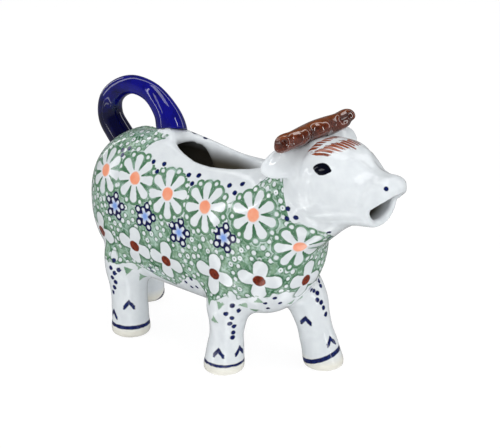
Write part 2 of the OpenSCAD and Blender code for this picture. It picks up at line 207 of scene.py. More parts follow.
class CreamerSizes(bpy.types.PropertyGroup):
    wall: length("Wall", "Thickness of the ceramic wall", 3.4)
    clay: length("Clay grain", "Fineness of the modelled ceramic", 0.98)
    back_height: length("Back height", "Height of the line of the back", 96)
    belly_height: length("Belly height", "Height of the belly above the table", 26)
    opening_middle: length("Opening middle", "Where the middle of the filling opening is along the body", -10.1)
    opening_length: length("Opening length", "Length of the filling opening", 50)
    opening_width: length("Opening width", "Width of the filling opening", 20.6)
    opening_lip: length("Opening lip", "How far the rim of the opening is rounded", 4.6)
    opening_taper: FloatProperty(
        name="Opening taper", description="How much the opening narrows to its front", default=.3)
    opening_slope: FloatProperty(
        name="Opening slope", description="How gently the front of the opening falls", default=1.1)
    foot_radius: length("Foot radius", "Radius of a foot", 9.1)
    hip_radius: length("Hip radius", "Radius of a leg where it meets the body", 10.6)
    foot_side: length("Foot side", "Distance of a foot from the middle plane", 17)
    hip_side: length("Hip side", "Distance of a hip from the middle plane", 14)
    ear_span: length("Ear span", "Distance between the tips of the ears", 58)
    ear_width: length("Ear width", "Width of an ear", 11.2)
    ear_thickness: length("Ear thickness", "Thickness of an ear", 5)
    ear_dish: length("Ear dish", "How hollow an ear is", 1.5)
    horn_span: length("Horn span", "Length of the horn bar", 48)
    horn_radius: length("Horn radius", "Radius of the horn bar", 4.1)
    horn_dimple: length("Horn dimple", "Depth of the dimple in an end of the horn bar", 1.3)
    mouth_half_width: length("Mouth half width", "Half of the width of the mouth hole", 6.1)
    mouth_height: length("Mouth height", "Height of the mouth hole", 6.9)
    rings_round: IntProperty(name="Points round", description="Points in each ring of a form", default=96)


class CreamerColours(bpy.types.PropertyGroup):
    glaze: colour("White glaze", "Clear glaze over the white body", 223, 228, 231)
    glaze_shade: colour("White glaze, greyer", "The clear glaze where it lies thicker", 215, 220, 224)
    green_dark: colour("Dark green", "Outlines and shadows of the ground", 46, 96, 64)
    green: colour("Green", "The stamped ground", 100, 140, 110)
    green_pale: colour("Pale green", "The ground where it is thin", 136, 166, 142)
    mint: colour("Mint", "The ground where it is thinnest", 182, 206, 198)
    salmon: colour("Salmon", "Middle of a daisy", 238, 146, 110)
    salmon_pale: colour("Pale salmon", "Middle of a daisy where it is thin", 243, 176, 148)
    rust: colour("Rust", "Middle of a four-petalled flower", 136, 48, 16)
    rust_dark: colour("Dark rust", "Shadow of the middle of a flower", 84, 22, 6)
    fringe: colour("Fringe", "Brush strokes on the crown", 146, 64, 18)
    navy: colour("Navy", "Dots, stars and bands", 4, 10, 68)
    navy_light: colour("Light navy", "The navy where it is thin", 22, 44, 104)
    sky: colour("Sky blue", "Middle of a star", 122, 158, 226)
    pupil: colour("Eye", "Glossy dark of the eyes", 3, 5, 20)
    # Cobalt: the thin glaze of the streaks, and painted light on the top of the loop
    cobalt: colour("Cobalt", "Cobalt glaze of the tail where it is thin", 14, 14, 122)
    cobalt_dark: colour("Deep cobalt", "Cobalt glaze of the tail", 2, 3, 44)
    brown: colour("Horn brown", "Brown glaze of the horn bar", 104, 42, 18)
    # Dark brown: the glaze's own deeper tone where it pools, and painted shade in the pits of the horn bar
    brown_pool_and_shade: colour("Dark brown", "Brown glaze in the hollows", 56, 20, 10)
    # Pale brown: painted light, laid on the top of the horn bar where the light from above falls
    brown_painted_light: colour("Pale brown", "Brown glaze where it is thin on top of the horns", 132, 70, 30)
    # Inside: painted shade, a dark colour laid on the deep inner wall of the hollow where the shade falls
    inside: colour("Inside", "Dark of the hollow", 92, 87, 76)
    # Foot: painted light, the lighter and warmer white thrown up from the floor onto the lowest few millimetres
    foot: colour("Foot", "The clear glaze under the bands", 232, 230, 220)
    floor: colour("Floor", "Pale floor", 252, 252, 252)


# ---------------------------------------------------------------------------
# Clay: forms through rings, joined, smoothed and hollowed
# ---------------------------------------------------------------------------


def between(a, b, c, d, t):
    """A point of a smooth curve from b to c."""
    return (2 * b + (c - a) * t + (2 * a - 5 * b + 4 * c - d) * t**2 + (3 * b - a - 3 * c + d) * t**3) / 2


def refine(rows, steps, before=None, after=None):
    """The rows of a table with more rows between them, on a smooth curve."""
    rows = np.array(rows, float)
    before = 2 * rows[0] - rows[1] if before is None else np.array(before, float)
    after = 2 * rows[-1] - rows[-2] if after is None else np.array(after, float)
    all_rows = [before, *rows, after]
    fine = [between(*all_rows[k:k + 4], j / steps) for k in range(len(rows) - 1) for j in range(steps)]
    return np.array([*fine, rows[-1]])


def mirrored(row, signs):
    return np.array(row, float) * signs


def turns(count):
    return 2 * math.pi * (np.arange(count) + .5) / count


def signed_power(value, power):
    return np.sign(value) * np.abs(value) ** power


def oval(x, z, lean, high, wide, squareness, count):
    """A ring round the X axis, leant back by an angle."""
    a = turns(count)
    v = high * signed_power(np.sin(a), 2 / squareness)
    w = wide * signed_power(np.cos(a), 2 / squareness)
    tilt = math.radians(lean)
    return np.stack([x - v * math.sin(tilt), -w, z + v * math.cos(tilt)], 1) * MM


def loft(name, rings, start=None, end=None):
    """A closed form through rings of points, as an object, with a pole at each end or else in its last ring."""
    start = rings[0].mean(0) if start is None else start
    end = rings[-1].mean(0) if end is None else end
    bm = bmesh.new()
    line = bmesh.ops.create_circle(bm, segments=len(rings[0]), radius=MM)["verts"]
    edges = bm.edges[:]
    first, first_edges = line, edges
    for vert, place in zip(line, rings[0]):
        vert.co = place
    for places in rings[1:]:
        made = bmesh.ops.extrude_edge_only(bm, edges=edges)["geom"]
        new = {v for v in made if isinstance(v, bmesh.types.BMVert)}
        edges = [e for e in made if isinstance(e, bmesh.types.BMEdge) and all(v in new for v in e.verts)]
        line = [next(e.other_vert(v) for e in v.link_edges if e.other_vert(v) in new) for v in line]
        for vert, place in zip(line, places):
            vert.co = place
    for rim, tip in ((first_edges, start), (edges, end)):
        cap = bmesh.ops.edgeloop_fill(bm, edges=rim)["faces"]
        bmesh.ops.poke(bm, faces=cap)["verts"][0].co = tip
    bmesh.ops.recalc_face_normals(bm, faces=bm.faces)
    return as_object(name, bm)


def as_object(name, bm):
    mesh = bpy.data.meshes.new(name)
    bm.to_mesh(mesh)
    bm.free()
    obj = bpy.data.objects.new(name, mesh)
    bpy.context.scene.collection.objects.link(obj)
    return obj


def joined(name, objects):
    """One object with copies of the meshes of several."""
    bm = bmesh.new()
    for obj in objects:
        bm.from_mesh(obj.data)
    return as_object(name, bm)


def settle(obj):
    """Applies the modifiers of an object."""
    bpy.context.view_layer.update()
    shaped = obj.evaluated_get(bpy.context.evaluated_depsgraph_get())
    mesh = bpy.data.meshes.new_from_object(shaped)
    obj.modifiers.clear()
    old, obj.data = obj.data, mesh
    bpy.data.meshes.remove(old)
    mesh.name = obj.name
    return obj


def knead(obj, grain):
    """Joins overlapping closed forms into one skin of even faces."""
    remesh = obj.modifiers.new("Clay", "REMESH")
    remesh.mode, remesh.voxel_size, remesh.adaptivity = "VOXEL", grain, 0
    return settle(obj)


def carve(obj, tool):
    """Cuts one closed form out of another."""
    cut = obj.modifiers.new("Cut", "BOOLEAN")
    cut.operation, cut.object, cut.solver = "DIFFERENCE", tool, "MANIFOLD"
    return settle(obj)


def discard(*objects):
    for obj in objects:
        mesh = obj.data
        bpy.data.objects.remove(obj)
        bpy.data.meshes.remove(mesh)


def read_all(items, field, width=3, kind=np.float32):
    """One value or one vector of every vertex, edge, face or corner."""
    out = np.empty(len(items) * width, kind)
    items.foreach_get(field, out)
    return out.reshape(-1, width) if width > 1 else out


def places(mesh):
    return read_all(mesh.vertices, "co").astype(float)


def place(mesh, co):
    mesh.vertices.foreach_set("co", co.astype(np.float32).ravel())
    mesh.update()


def normals(mesh):
    return read_all(mesh.vertices, "normal").astype(float)


class Neighbours:
    """The mean place of each vertex's neighbours."""

    def __init__(self, mesh):
        self.a, self.b = read_all(mesh.edges, "vertices", 2, np.int32).T
        self.count = len(mesh.vertices)
        self.links = np.bincount(np.r_[self.a, self.b], minlength=self.count)[:, None]

    def mean(self, values):
        columns = values.reshape(self.count, -1)
        total = [
            np.bincount(self.a, columns[self.b, c], self.count) + np.bincount(self.b, columns[self.a, c], self.count)
            for c in range(columns.shape[1])
        ]
        return (np.stack(total, 1) / self.links).reshape(values.shape)


def sleek(co, near):
    """Takes the grain off a skin without shrinking it."""
    for _ in range(4):
        for step in (.5, -.52):
            co = co + step * (near.mean(co) - co)
    return co


def rub(co, near, weight, rounds):
    """Rounds a skin off where its weight is high."""
    weight = weight[:, None]
    for _ in range(rounds):
        co = co + .6 * weight * (near.mean(co) - co)
    return co


def press(co, lean, touches, both=True):
    """Pushes a skin out or in round short lines, each given as two ends, a radius and a push."""
    moved = co.copy()
    for start, end, radius, push in touches:
        for side in ((1, -1) if both else (1,)):
            a, b = (np.array((x, side * y, z)) * MM for x, y, z in (start, end))
            way = b - a
            t = np.clip(((co - a) @ way) / max(way @ way, 1e-12), 0, 1)
            away = np.linalg.norm(co - a - t[:, None] * way, axis=1) / (radius * MM)
            moved += lean * (push * MM * np.exp(-away**2))[:, None]
    return moved


def smooth_step(low, high, value):
    t = np.clip((value - low) / (high - low), 0, 1)
    return t * t * (3 - 2 * t)


def tree_of(obj):
    bm = bmesh.new()
    bm.from_mesh(obj.data)
    tree = BVHTree.FromBMesh(bm)
    bm.free()
    return tree


def gaps(co, tree, reach):
    """How far each place is from a form, up to a reach."""
    found = (tree.find_nearest(p, reach)[3] for p in co)
    return np.array([reach if d is None else d for d in found])


def hull_form(name, sizes, table, squareness, wall=0):
    """The trunk or the head, or the hollow in it inside a wall.

    The rings of the hollow shrink by the wall but keep their X, so that the wall is thin at the rear end.
    """
    first, last = table[0], table[-1]
    closed = last[3] == 0
    rows = refine(table, HOLLOW_STEPS if wall else SKIN_STEPS, mirrored(table[1], POLE_SIGNS),
                  mirrored(table[-2], POLE_SIGNS) if closed else None)
    wall = wall / MM
    rows = [r for r in rows if min(r[3], r[4]) > 1.6 * wall and r[3] > .01]
    rings = [oval(x, z, lean, h - wall, w - wall, squareness, sizes.rings_round) for x, z, lean, h, w in rows]
    end = Vector((last[0], 0, last[1])) * MM if closed and not wall else None
    return loft(name, rings, Vector((first[0] + wall, 0, first[1])) * MM, end)


def leg_form(leg, sizes):
    foot_x, hip_x, side, ankle = LEGS[leg]
    rows = refine(LEG, 6, LEG[0])
    top = LEG[-1][0]
    a = turns(POINTS_ROUND)
    rings = []
    for share, foot, thin, hip in rows:
        radius = sizes.foot_radius / MM * foot + ankle * thin + sizes.hip_radius / MM * hip
        up = max(share / top, 0)
        x = foot_x + (hip_x - foot_x) * up**LEG_SWEEP
        y = side * (sizes.foot_side + (sizes.hip_side - sizes.foot_side) * up) / MM
        z = share * sizes.belly_height / MM
        rings.append(np.stack([x + radius * np.cos(a), y - radius * np.sin(a), z + 0 * a], 1) * MM)
    return loft(leg + "_solid", rings)


def ear_form(name, sizes, side):
    root, tip = np.array(EAR_ROOT), np.array(EAR_TIPS[side])
    thick, wide, dish = (s / MM for s in (sizes.ear_thickness, sizes.ear_width, sizes.ear_dish))
    rows = [(t, thick / 2 * v, wide / 2 * w) for t, v, w in EAR]
    fine = [r for r in refine(rows, 8, None, mirrored(rows[-2], (1, -1, -1))) if r[1] > .05]
    a = side * turns(48)

    def point(t, w, v):
        x, z = root + (tip - root) * t
        return np.stack([
            x + w * math.cos(EAR_TURN) + v * math.sin(EAR_TURN),
            side * sizes.ear_span / MM / 2 * t + 0 * w,
            z - w * math.sin(EAR_TURN) + v * math.cos(EAR_TURN),
        ], -1) * MM

    rings = [point(t, w * np.cos(a), v * np.sin(a) + dish * np.cos(a) ** 2 * w / (wide / 2)) for t, v, w in fine]
    nought = np.zeros(1)
    return loft(name, rings, point(rows[0][0], nought, nought)[0], point(1, nought, nought)[0])


def opening_form(name, sizes):
    """The filling opening: it narrows to the front, where its wall falls gently."""
    a = turns(sizes.rings_round)
    half_long, half_wide = sizes.opening_length / 2, sizes.opening_width / 2
    ahead = np.maximum(np.cos(a), 0)
    rings = []
    for depth in np.linspace(*OPENING_DEPTHS) * MM:
        back = min(max(depth - OPENING_EDGE * MM, 0) * sizes.opening_slope, half_long * OPENING_FALL)
        rings.append(np.stack([
            sizes.opening_middle + half_long * np.cos(a) - ahead * back,
            -half_wide * signed_power(np.sin(a), .9) * (1 - sizes.opening_taper * ahead),
            sizes.back_height - depth + 0 * a,
        ], 1))
    return loft(name, rings)


def collar_form(name, sizes):
    """The wall that turns down inside the opening, deeper towards the head."""
    a = turns(POINTS_ROUND)
    x = sizes.opening_middle - COLLAR_BACK * MM + (sizes.opening_length / 2 + COLLAR_ALONG * MM) * np.cos(a)
    y = -(sizes.opening_width / 2 + COLLAR_ACROSS * MM) * np.sin(a)
    low = np.interp(x / MM, COLLAR[:, 0], COLLAR[:, 1]) * MM
    high = sizes.back_height + COLLAR_ABOVE * MM + 0 * a
    return loft(name, [np.stack([x, y, z], 1) for z in (low, high)])


def mouth_form(name, sizes):
    """The mouth hole, round below and straight above, from the hollow of the head out past the lip."""
    a = np.linspace(0, math.pi, 25)
    side, low = sizes.mouth_half_width * np.cos(a), -sizes.mouth_height * np.sin(a) ** .8
    roof = sizes.back_height - ROOF_DROP * MM
    return loft(name, [np.stack([x * MM + 0 * a, side, roof + low], 1) for x in (MOUTH_BACK, MOUTH_FRONT)])


def lip_form(name, sizes):
    """What is cut away under the nose and in front of the lower lip."""
    lip, roof, ahead = LIP * MM, sizes.back_height - ROOF_DROP * MM, LIP_AHEAD * MM
    behind, down = lip - LIP_BEHIND * MM, roof - LIP_DOWN * MM
    side = [(behind, down), (behind, roof), (lip, roof), (lip + ahead, roof + ahead * math.tan(NOSE_SLOPE)),
            (lip + ahead, down)]
    return loft(name, [np.array([(x, y, z) for x, z in side]) for y in (-LIP_SIDE * MM, LIP_SIDE * MM)])


def model_solid(sizes):
    """Trunk, head, legs, ears, throat and the seat of the tail in one skin, and the forms it is made of."""
    parts = {
        "trunk": hull_form("trunk", sizes, TRUNK, TRUNK_SQUARENESS),
        "head": hull_form("head_solid", sizes, HEAD, HEAD_SQUARENESS),
        **{leg: leg_form(leg, sizes) for leg in LEGS},
        "tail_seat": seat_form("tail_seat"),
        "throat": throat_form("throat"),
        "ear_left": ear_form("ear_left_solid", sizes, 1),
        "ear_right": ear_form("ear_right_solid", sizes, -1),
    }
    solid = knead(joined("solid", parts.values()), sizes.clay)
    near = Neighbours(solid.data)
    co = sleek(places(solid.data), near)
    # Luted joints: the skin is rubbed smooth where two forms meet
    distance = {name: gaps(co, tree_of(obj), FAR) for name, obj in parts.items()}
    second = np.sort(np.stack(list(distance.values())), axis=0)[1]
    ears = np.minimum(distance["ear_left"], distance["ear_right"])
    reach = np.where(ears < 4 * MM, EAR_SEAM, SEAM)
    reach = np.where(distance["tail_seat"] < 3 * MM, SEAT_SEAM, reach)
    seam = 1 - smooth_step(0, 1, second / reach)
    seam *= smooth_step(6 * MM, 14 * MM, co[:, 2])
    co = rub(co, near, seam, SEAM_ROUNDS)
    throat = 1 - smooth_step(2 * MM, 6 * MM, distance["throat"])
    co = rub(co, near, throat * (co[:, 2] < 95 * MM), THROAT_ROUNDS)
    place(solid.data, co)
    place(solid.data, press(co, normals(solid.data), HEAD_TOUCHES))
    return carve(solid, slab("above", True)), parts


def model_hollow(sizes):
    """The hollow of trunk and head, short of the wall that turns down inside the opening."""
    hollow = knead(joined("hollow", [
        hull_form("trunk_hollow", sizes, TRUNK, TRUNK_SQUARENESS, sizes.wall),
        hull_form("head_hollow", sizes, HEAD, HEAD_SQUARENESS, sizes.wall)]), sizes.clay)
    place(hollow.data, sleek(places(hollow.data), Neighbours(hollow.data)))
    return carve(hollow, collar_form("collar", sizes))


def rub_edge(co, near, first, second, soft, rounds):
    """Rounds a skin off round the edge in which two forms meet."""
    edge = np.hypot(gaps(co, tree_of(first), FAR), gaps(co, tree_of(second), FAR))
    return rub(co, near, 1 - smooth_step(.25 * soft, soft, edge), rounds)


def wipe(mesh, solid, opening, lip, mouth, opening_edge):
    """Wipes the rims of the opening, of the mouth and of the feet round."""
    near = Neighbours(mesh)
    co = sleek(places(mesh), near)
    lean = near.mean(co) - co
    for _ in range(3):
        lean = near.mean(lean)
    rim = smooth_step(.034 * MM, .15 * MM, np.linalg.norm(lean, axis=1))
    for _ in range(4):
        rim = np.maximum(rim, near.mean(rim))
    rim *= smooth_step(.3 * MM, 2 * MM, co[:, 2])
    on_seat = (np.hypot(co[:, 0] - SEAT_TOP[0] * MM, co[:, 1]) < 10 * MM) & (co[:, 2] > 97 * MM)
    co = rub(co, near, np.clip(np.where(on_seat, 0, rim), 0, 1), RIM_ROUNDS)
    co = rub_edge(co, near, solid, opening, opening_edge, OPENING_ROUNDS)
    co = rub_edge(co, near, lip, mouth, MOUTH_EDGE, MOUTH_ROUNDS)
    co[:, 2] = np.maximum(co[:, 2], 0)
    place(mesh, co)


def model_body(sizes):
    """The whole white body in one, hollow from the opening to the mouth, and the solid body it is cut from."""
    solid, parts = model_solid(sizes)
    hollow = model_hollow(sizes)
    shell = joined("body", [solid])
    opening = carve(opening_form("opening", sizes), parts["head"])
    lip, mouth = lip_form("lip", sizes), mouth_form("mouth", sizes)
    for tool in (hollow, opening, lip, mouth):
        carve(shell, tool)
    knead(shell, sizes.clay)
    wipe(shell.data, solid, opening, lip, mouth, sizes.opening_lip)
    return shell, solid


def seat_form(name):
    rows = refine(TAIL_SEAT, 4)
    a = turns(POINTS_ROUND)
    rings = [np.stack([x + r * np.cos(a), -r * np.sin(a), z + 0 * a], 1) * MM for x, z, r in rows]
    return loft(name, rings)


def throat_form(name):
    rows = refine(THROAT, 6)
    rings = [oval(x, z, 0, max(h, .01), max(w, .01), 2, 48) for x, z, h, w in rows[1:-1]]
    return loft(name, rings)


def slab(name, above):
    """A block whose one side is the slanted top of the seat of the tail.

    It is wider than the seat, so that the block above also trims the far side of the back.
    """
    x0, z0, along, across = SEAT_TOP
    corners = [(BLOCK_BACK, -BLOCK_SIDE), (BLOCK_FRONT, -BLOCK_SIDE), (BLOCK_FRONT, BLOCK_SIDE),
               (BLOCK_BACK, BLOCK_SIDE)]
    sink = 0 if above else -TAIL_SINK
    slanted = np.array([(x, y, z0 + along * (x - x0) + across * y + sink) for x, y in corners]) * MM
    flat = np.array([(x, y, BLOCK_TOP if above else BLOCK_BOTTOM) for x, y in corners]) * MM
    return loft(name, (slanted, flat) if above else (flat, slanted))


def tail_form(name):
    rows = refine(TAIL, 12)
    ahead = np.gradient(rows[:, :2], axis=0)
    ahead /= np.linalg.norm(ahead, axis=1)[:, None]
    a = turns(POINTS_ROUND)
    rings = []
    for (x, z, r), (gx, gz) in zip(rows, ahead):
        rings.append(np.stack([x + gz * r * np.cos(a), -r * np.sin(a), z - gx * r * np.cos(a)], 1) * MM)
    return loft(name, rings)


def horn_form(name, sizes):
    last = HORN[-2]
    half = refine(HORN, 12, None, (1 - last[0], last[1]))
    rows = np.concatenate([half, [(1 - s, r) for s, r in half[-2::-1]]])
    a = turns(80)
    span, thick = sizes.horn_span, sizes.horn_radius
    rings = [np.stack([thick * r * np.cos(a), span * (s - .5) + 0 * a, thick * r * np.sin(a)], 1) for s, r in rows]
    inner = span / 2 - sizes.horn_dimple
    obj = loft(name, rings, Vector((0, -inner, 0)), Vector((0, inner, 0)))
    obj.data.transform(Matrix.Translation(Vector(HORN_SEAT) * MM) @ Matrix.Rotation(HORN_TILT, 4, "X"))
    return obj


# ---------------------------------------------------------------------------
# Stamps: where each painted figure sits
# ---------------------------------------------------------------------------

DAISY, STAR, FLOWER, DOT, CHEVRON, LEAF, EYE, BRUSH = 1, 2, 3, 4, 5, 6, 7, 8
# How far from its middle a figure may paint, in millimetres
REACH = {DAISY: 13.6, STAR: 7.4, FLOWER: 11.2, DOT: 1.7, CHEVRON: 4.4, LEAF: 4.2, EYE: 5.6, BRUSH: 3.4}
# How near its middle the small dots of the ground keep away
CLEAR = {DAISY: 13.1, STAR: 7.3, FLOWER: 10.6, DOT: 1.6, CHEVRON: 0, LEAF: 3, EYE: 0, BRUSH: 0}

# Figures that show from the right: kind, X, Y, Z, size, turn in degrees
NEAR = [
    (DAISY, -63.5, -21.5, 81.3, 1, 0), (DAISY, -42.4, -23.2, 82.5, 1, -4), (DAISY, -21.5, -23.4, 79.8, 1, -10),
    (DAISY, 1.2, -23.2, 79.1, 1, -13), (DAISY, 27.7, -21.4, 81.4, 1, 9),
    (STAR, -53.8, -25.7, 66.9, 1, -25), (STAR, -33.7, -26, 66.8, 1, -20), (STAR, -12.3, -25.9, 64.5, 1, -22),
    (STAR, 14, -25.2, 68.6, 1, -22),
    (FLOWER, -67.3, -22.1, 50, 1, 0), (FLOWER, -42.4, -24.8, 49.7, 1, 6), (FLOWER, -22.4, -24.5, 47.5, 1, 2),
    (FLOWER, 7.9, -25, 49.8, 1, 4), (FLOWER, 31.1, -21.3, 51.8, 1, 0),
]
MIDDLE = [
    (DAISY, 44.9, -10.6, 68.5, 1, 0), (FLOWER, 40.8, -1.1, 48.5, .95, 0), (DAISY, 42.8, 14.5, 71.5, 1, 0),
    (DAISY, -84.6, 1.5, 74.5, 1, 0), (FLOWER, -82.6, 4, 50, 1, 10), (STAR, -82.6, -12.5, 63, 1, 0),
    (STAR, -82.2, 14.5, 62, 1, 10),
]
DOTS = [
    (-35, -18.4, 90.7), (-28.8, -17.8, 90.9), (-30.9, -20.3, 87.5), (-13.5, -17.8, 89.2), (-8.4, -16.7, 89.8),
    (-9.9, -19.6, 86.4), (10, -16.7, 89.4), (16, -15, 91), (14.6, -18.3, 87.5), (-56.1, -17.4, 91.6),
    (-52.2, -16.7, 93), (-54.7, -18.9, 89.8), (43.3, -16.7, 86.9), (42.9, -17, 82.3), (46.3, -15.1, 83.3),
    (16.2, -22.4, 35.9), (17.9, -19.7, 33.1), (13.8, -23.8, 31.8), (15.4, -21.6, 29.6), (14.2, -21.6, 26.5),
    (14.9, -19.7, 24.8), (14, -19.5, 21.5), (13.5, -19.5, 18.9),
    (-56.9, -25, 38.6), (-58.4, -25.4, 34.6), (-54, -24.7, 34.4), (-56.1, -25.5, 32.5), (-57.6, -25.2, 29.7),
    (-55.9, -24.9, 27.8), (-57.2, -24.4, 24.7), (-58.3, -23.8, 21.8),
]
FAR_DOTS = [
    (33.3, 17.3, 40.1), (34.4, 17.3, 38.2), (35.7, 13.4, 36.1), (36.6, 12.3, 33.3), (37.4, 14.1, 31.7),
    (37.8, 15, 29), (38.2, 16.1, 25.5), (-34.8, 8.2, 98.2), (-29.2, 9.8, 96.7),
]
DASHES = [
    (57.6, -7, 77.2), (55, -3, 73), (-36.3, -21.2, 39.2), (-35.9, -20.3, 37.5), (-13.2, -21.1, 38.7),
    (-8.4, -22.8, 42.1), (-10.6, -19.9, 36.6), (-6.6, -20.8, 38), (29.7, -15.7, 39.1), (28.8, -12.7, 35.5),
    (34, -14.1, 42.3), (33.7, -10.2, 38.5),
]
LEAVES = [
    (7.5, -24.6, 27.7, 0), (4.5, -24.6, 35.6, 175), (11.2, -25.1, 35.6, 190), (20, -18, 36.2, 150),
    (28.1, -17.7, 40.2, 120), (-50, -22.1, 34.4, 80), (-45, -19.9, 37.2, 85), (-47.1, -15.7, 30.8, 95),
    (33.5, -3, 37.5, 20), (22.5, -15, 32.5, -60),
]
CHEVRONS = [
    (9.4, -24, 11.3), (14.8, -16.1, 11.6), (33.6, 8.1, 23.9), (42, 15.5, 13.4), (-50.2, -22.2, 16.8),
    (-58, -24.3, 10.8),
]
# Rows of brush strokes of the fringe: where their middle is, half length of a stroke
FRINGE = [((60.9, -.3, 114.8), 3.6), ((52.4, 1.2, 115.8), 1.8)]
# Half width of a row, its bend, the slant of its strokes, and how far from its middle it may paint
FRINGE_WIDTH, FRINGE_BEND, FRINGE_SLANT, FRINGE_REACH = 12.5, .01, .25, 17
# Bands round the feet: middle of the foot, height there, rise per millimetre along X and Y, half width
BANDS = {
    "leg_rear_right": (-54.8, -17, 5.4, 0, 0, .9), "leg_front_right": (6, -17, 5.2, 0, 0, .7),
    "leg_front_left": (37.5, 17, 6.4, .25, .2, 1.1), "leg_rear_left": (-79, 17, 4.2, -.35, .55, .8),
}
# Limits of the green ground on the trunk: X, highest Z, lowest Z
GROUND = np.array([
    (-90, 90, 40), (-58, 88, 37), (-50, 88, 38), (-44, 87, 39), (-37, 86, 37), (-33.5, 86, 34.5), (-30, 84, 34.5),
    (-23, 84.5, 33.5), (-15, 83.5, 39), (-10, 82.5, 42.5), (-4, 83, 43), (-2, 83.3, 38), (0, 83.5, 35.5),
    (5, 83, 35.8), (9, 82, 37.5), (14, 83.5, 40.5),
    (18, 86, 39), (20, 88, 40), (28, 97, 43), (33, 101.5, 43), (37, 102, 45.5), (40, 100.5, 43), (60, 99, 41),
])
# White notches in the lower edge of the ground, on both sides, and their radius
NOTCHES = [(16.3, 22.5, 40.6), (34.5, 14.6, 43), (36.6, 12, 43.2), (-56.5, 25, 41)]
NOTCH_RADIUS = 2.3
# Where the ground ends on the back, behind the opening
GROUND_END = -39.8
# What stands for no ground and for no band
NO_GROUND, NO_BAND = -20, -9.0
# Distance between the white beads of the ground
BEAD_SPACING = 3.1 * MM
# Seeds of the draws: of the figures, of the places of the beads and of their sizes
FIGURE_SEED, BEAD_SEED, BEAD_SIZE_SEED = 5, 11, 3


def figures():
    """Every figure as kind, place, size, turn."""
    rows = [*NEAR, *MIDDLE]
    rows += [(kind, x - 4, -y, z, size, 15 - turn) for kind, x, y, z, size, turn in NEAR]
    rows += [(DOT, x, side * y, z, 1, 0) for x, y, z in DOTS for side in (1, -1) if side > 0 or z > 80]
    rows += [(DOT, *spot, 1, 0) for spot in FAR_DOTS]
    rows += [(DOT, x, side * y, z, .85, 0) for x, y, z in DASHES for side in (1, -1)]
    rows += [(LEAF, x, side * y, z, 1, side * turn) for x, y, z, turn in LEAVES for side in (1, -1)]
    rows += [(CHEVRON, *spot, 1, 0) for spot in CHEVRONS]
    rows += [(EYE, 59.8, side * 14.9, 107.2, 1, -3 * side) for side in (-1, 1)]
    rows += [(DOT, 85.8, side * 6.4, 102.8, .85, 0) for side in (-1, 1)]
    return rows


class Spots:
    """The figures laid on the skin, each with its own flat frame."""

    def __init__(self, tree):
        self.rows = []
        for kind, x, y, z, size, turn in figures():
            spot, normal = tree.find_nearest(Vector((x, y, z)) * MM)[:2]
            up = Vector((0, 0, 1)) if abs(normal.z) < .93 else Vector((1, 0, 0))
            across = up.cross(normal).normalized()
            up = normal.cross(across)
            spin = math.radians(turn)
            u, v = across * math.cos(spin) - up * math.sin(spin), up * math.cos(spin) + across * math.sin(spin)
            self.rows.append((kind, np.array(spot), np.array(normal), np.array(u), np.array(v), size))
        for spot, half in FRINGE:
            spot, normal = tree.find_nearest(Vector(spot) * MM)[:2]
            u = (Vector((1, 0, 0)) - normal * normal.x).normalized()
            self.rows.append((BRUSH, *(np.array(w) for w in (spot, normal, u, normal.cross(u))), half))

    def lay(self, faces, facing, skin, face_of, corners):
        """The flat place and kind of the figure at each corner of each face."""
        best = np.full(len(faces), 1.0)
        flat = np.zeros((len(corners), 3))
        chance = np.zeros(len(corners))
        draw = np.random.default_rng(FIGURE_SEED).random(len(self.rows))
        for (kind, spot, normal, u, v, size), luck in zip(self.rows, draw):
            away = faces - spot
            if kind == BRUSH:
                ahead, aside = away @ u / MM, away @ v / MM
                near = abs(ahead + FRINGE_BEND * size * aside**2) / (size + REACH[kind])
                inside_row = (abs(aside) < FRINGE_WIDTH) & (np.linalg.norm(away, axis=1) < FRINGE_REACH * MM)
                near = np.where(inside_row, near, 9)
            else:
                near = np.linalg.norm(away, axis=1) / (REACH[kind] * size * MM)
            own = (near < best) & (facing @ normal > .15) & skin
            best[own] = near[own]
            mine = own[face_of]
            offset = corners[mine] - spot
            chord = np.linalg.norm(offset, axis=1)
            x, y = offset @ u, offset @ v
            stretch = chord / np.maximum(np.hypot(x, y), 1e-9) / MM
            x, y = x * stretch, y * stretch
            if kind == BRUSH:
                x, y = x + FRINGE_BEND * size * y**2, (y - FRINGE_SLANT * x) * size
            flat[mine] = np.stack([x / size, y / size, np.full(len(x), kind)], 1)
            chance[mine] = luck
        return flat, chance

    def clear_of(self, places):
        """How far each place is outside the nearest figure, in millimetres."""
        room = np.full(len(places), 99.0)
        for kind, spot, _, _, _, size in self.rows:
            room = np.minimum(room, np.linalg.norm(places - spot, axis=1) / MM - CLEAR[kind] * size)
        return room


def scatter(places, spacing, seed):
    """Evenly strewn picks from a crowd of places, no two nearer than the spacing."""
    order = np.random.default_rng(seed).permutation(len(places))
    cells, kept = {}, []
    for k in order:
        key = tuple(np.floor(places[k] / spacing).astype(int))
        around = (
            cells.get((key[0] + i, key[1] + j, key[2] + m), ()) for i in (-1, 0, 1) for j in (-1, 0, 1)
            for m in (-1, 0, 1)
        )
        if all(np.sum((places[q] - places[k]) ** 2) > spacing**2 for cell in around for q in cell):
            cells.setdefault(key, []).append(k)
            kept.append(k)
    return np.array(kept)


def attribute(mesh, name, kind, domain, values):
    field = "vector" if kind == "FLOAT_VECTOR" else "value"
    made = mesh.attributes.new(name, kind, domain)
    made.data.foreach_set(field, np.ascontiguousarray(values, np.float32).ravel())


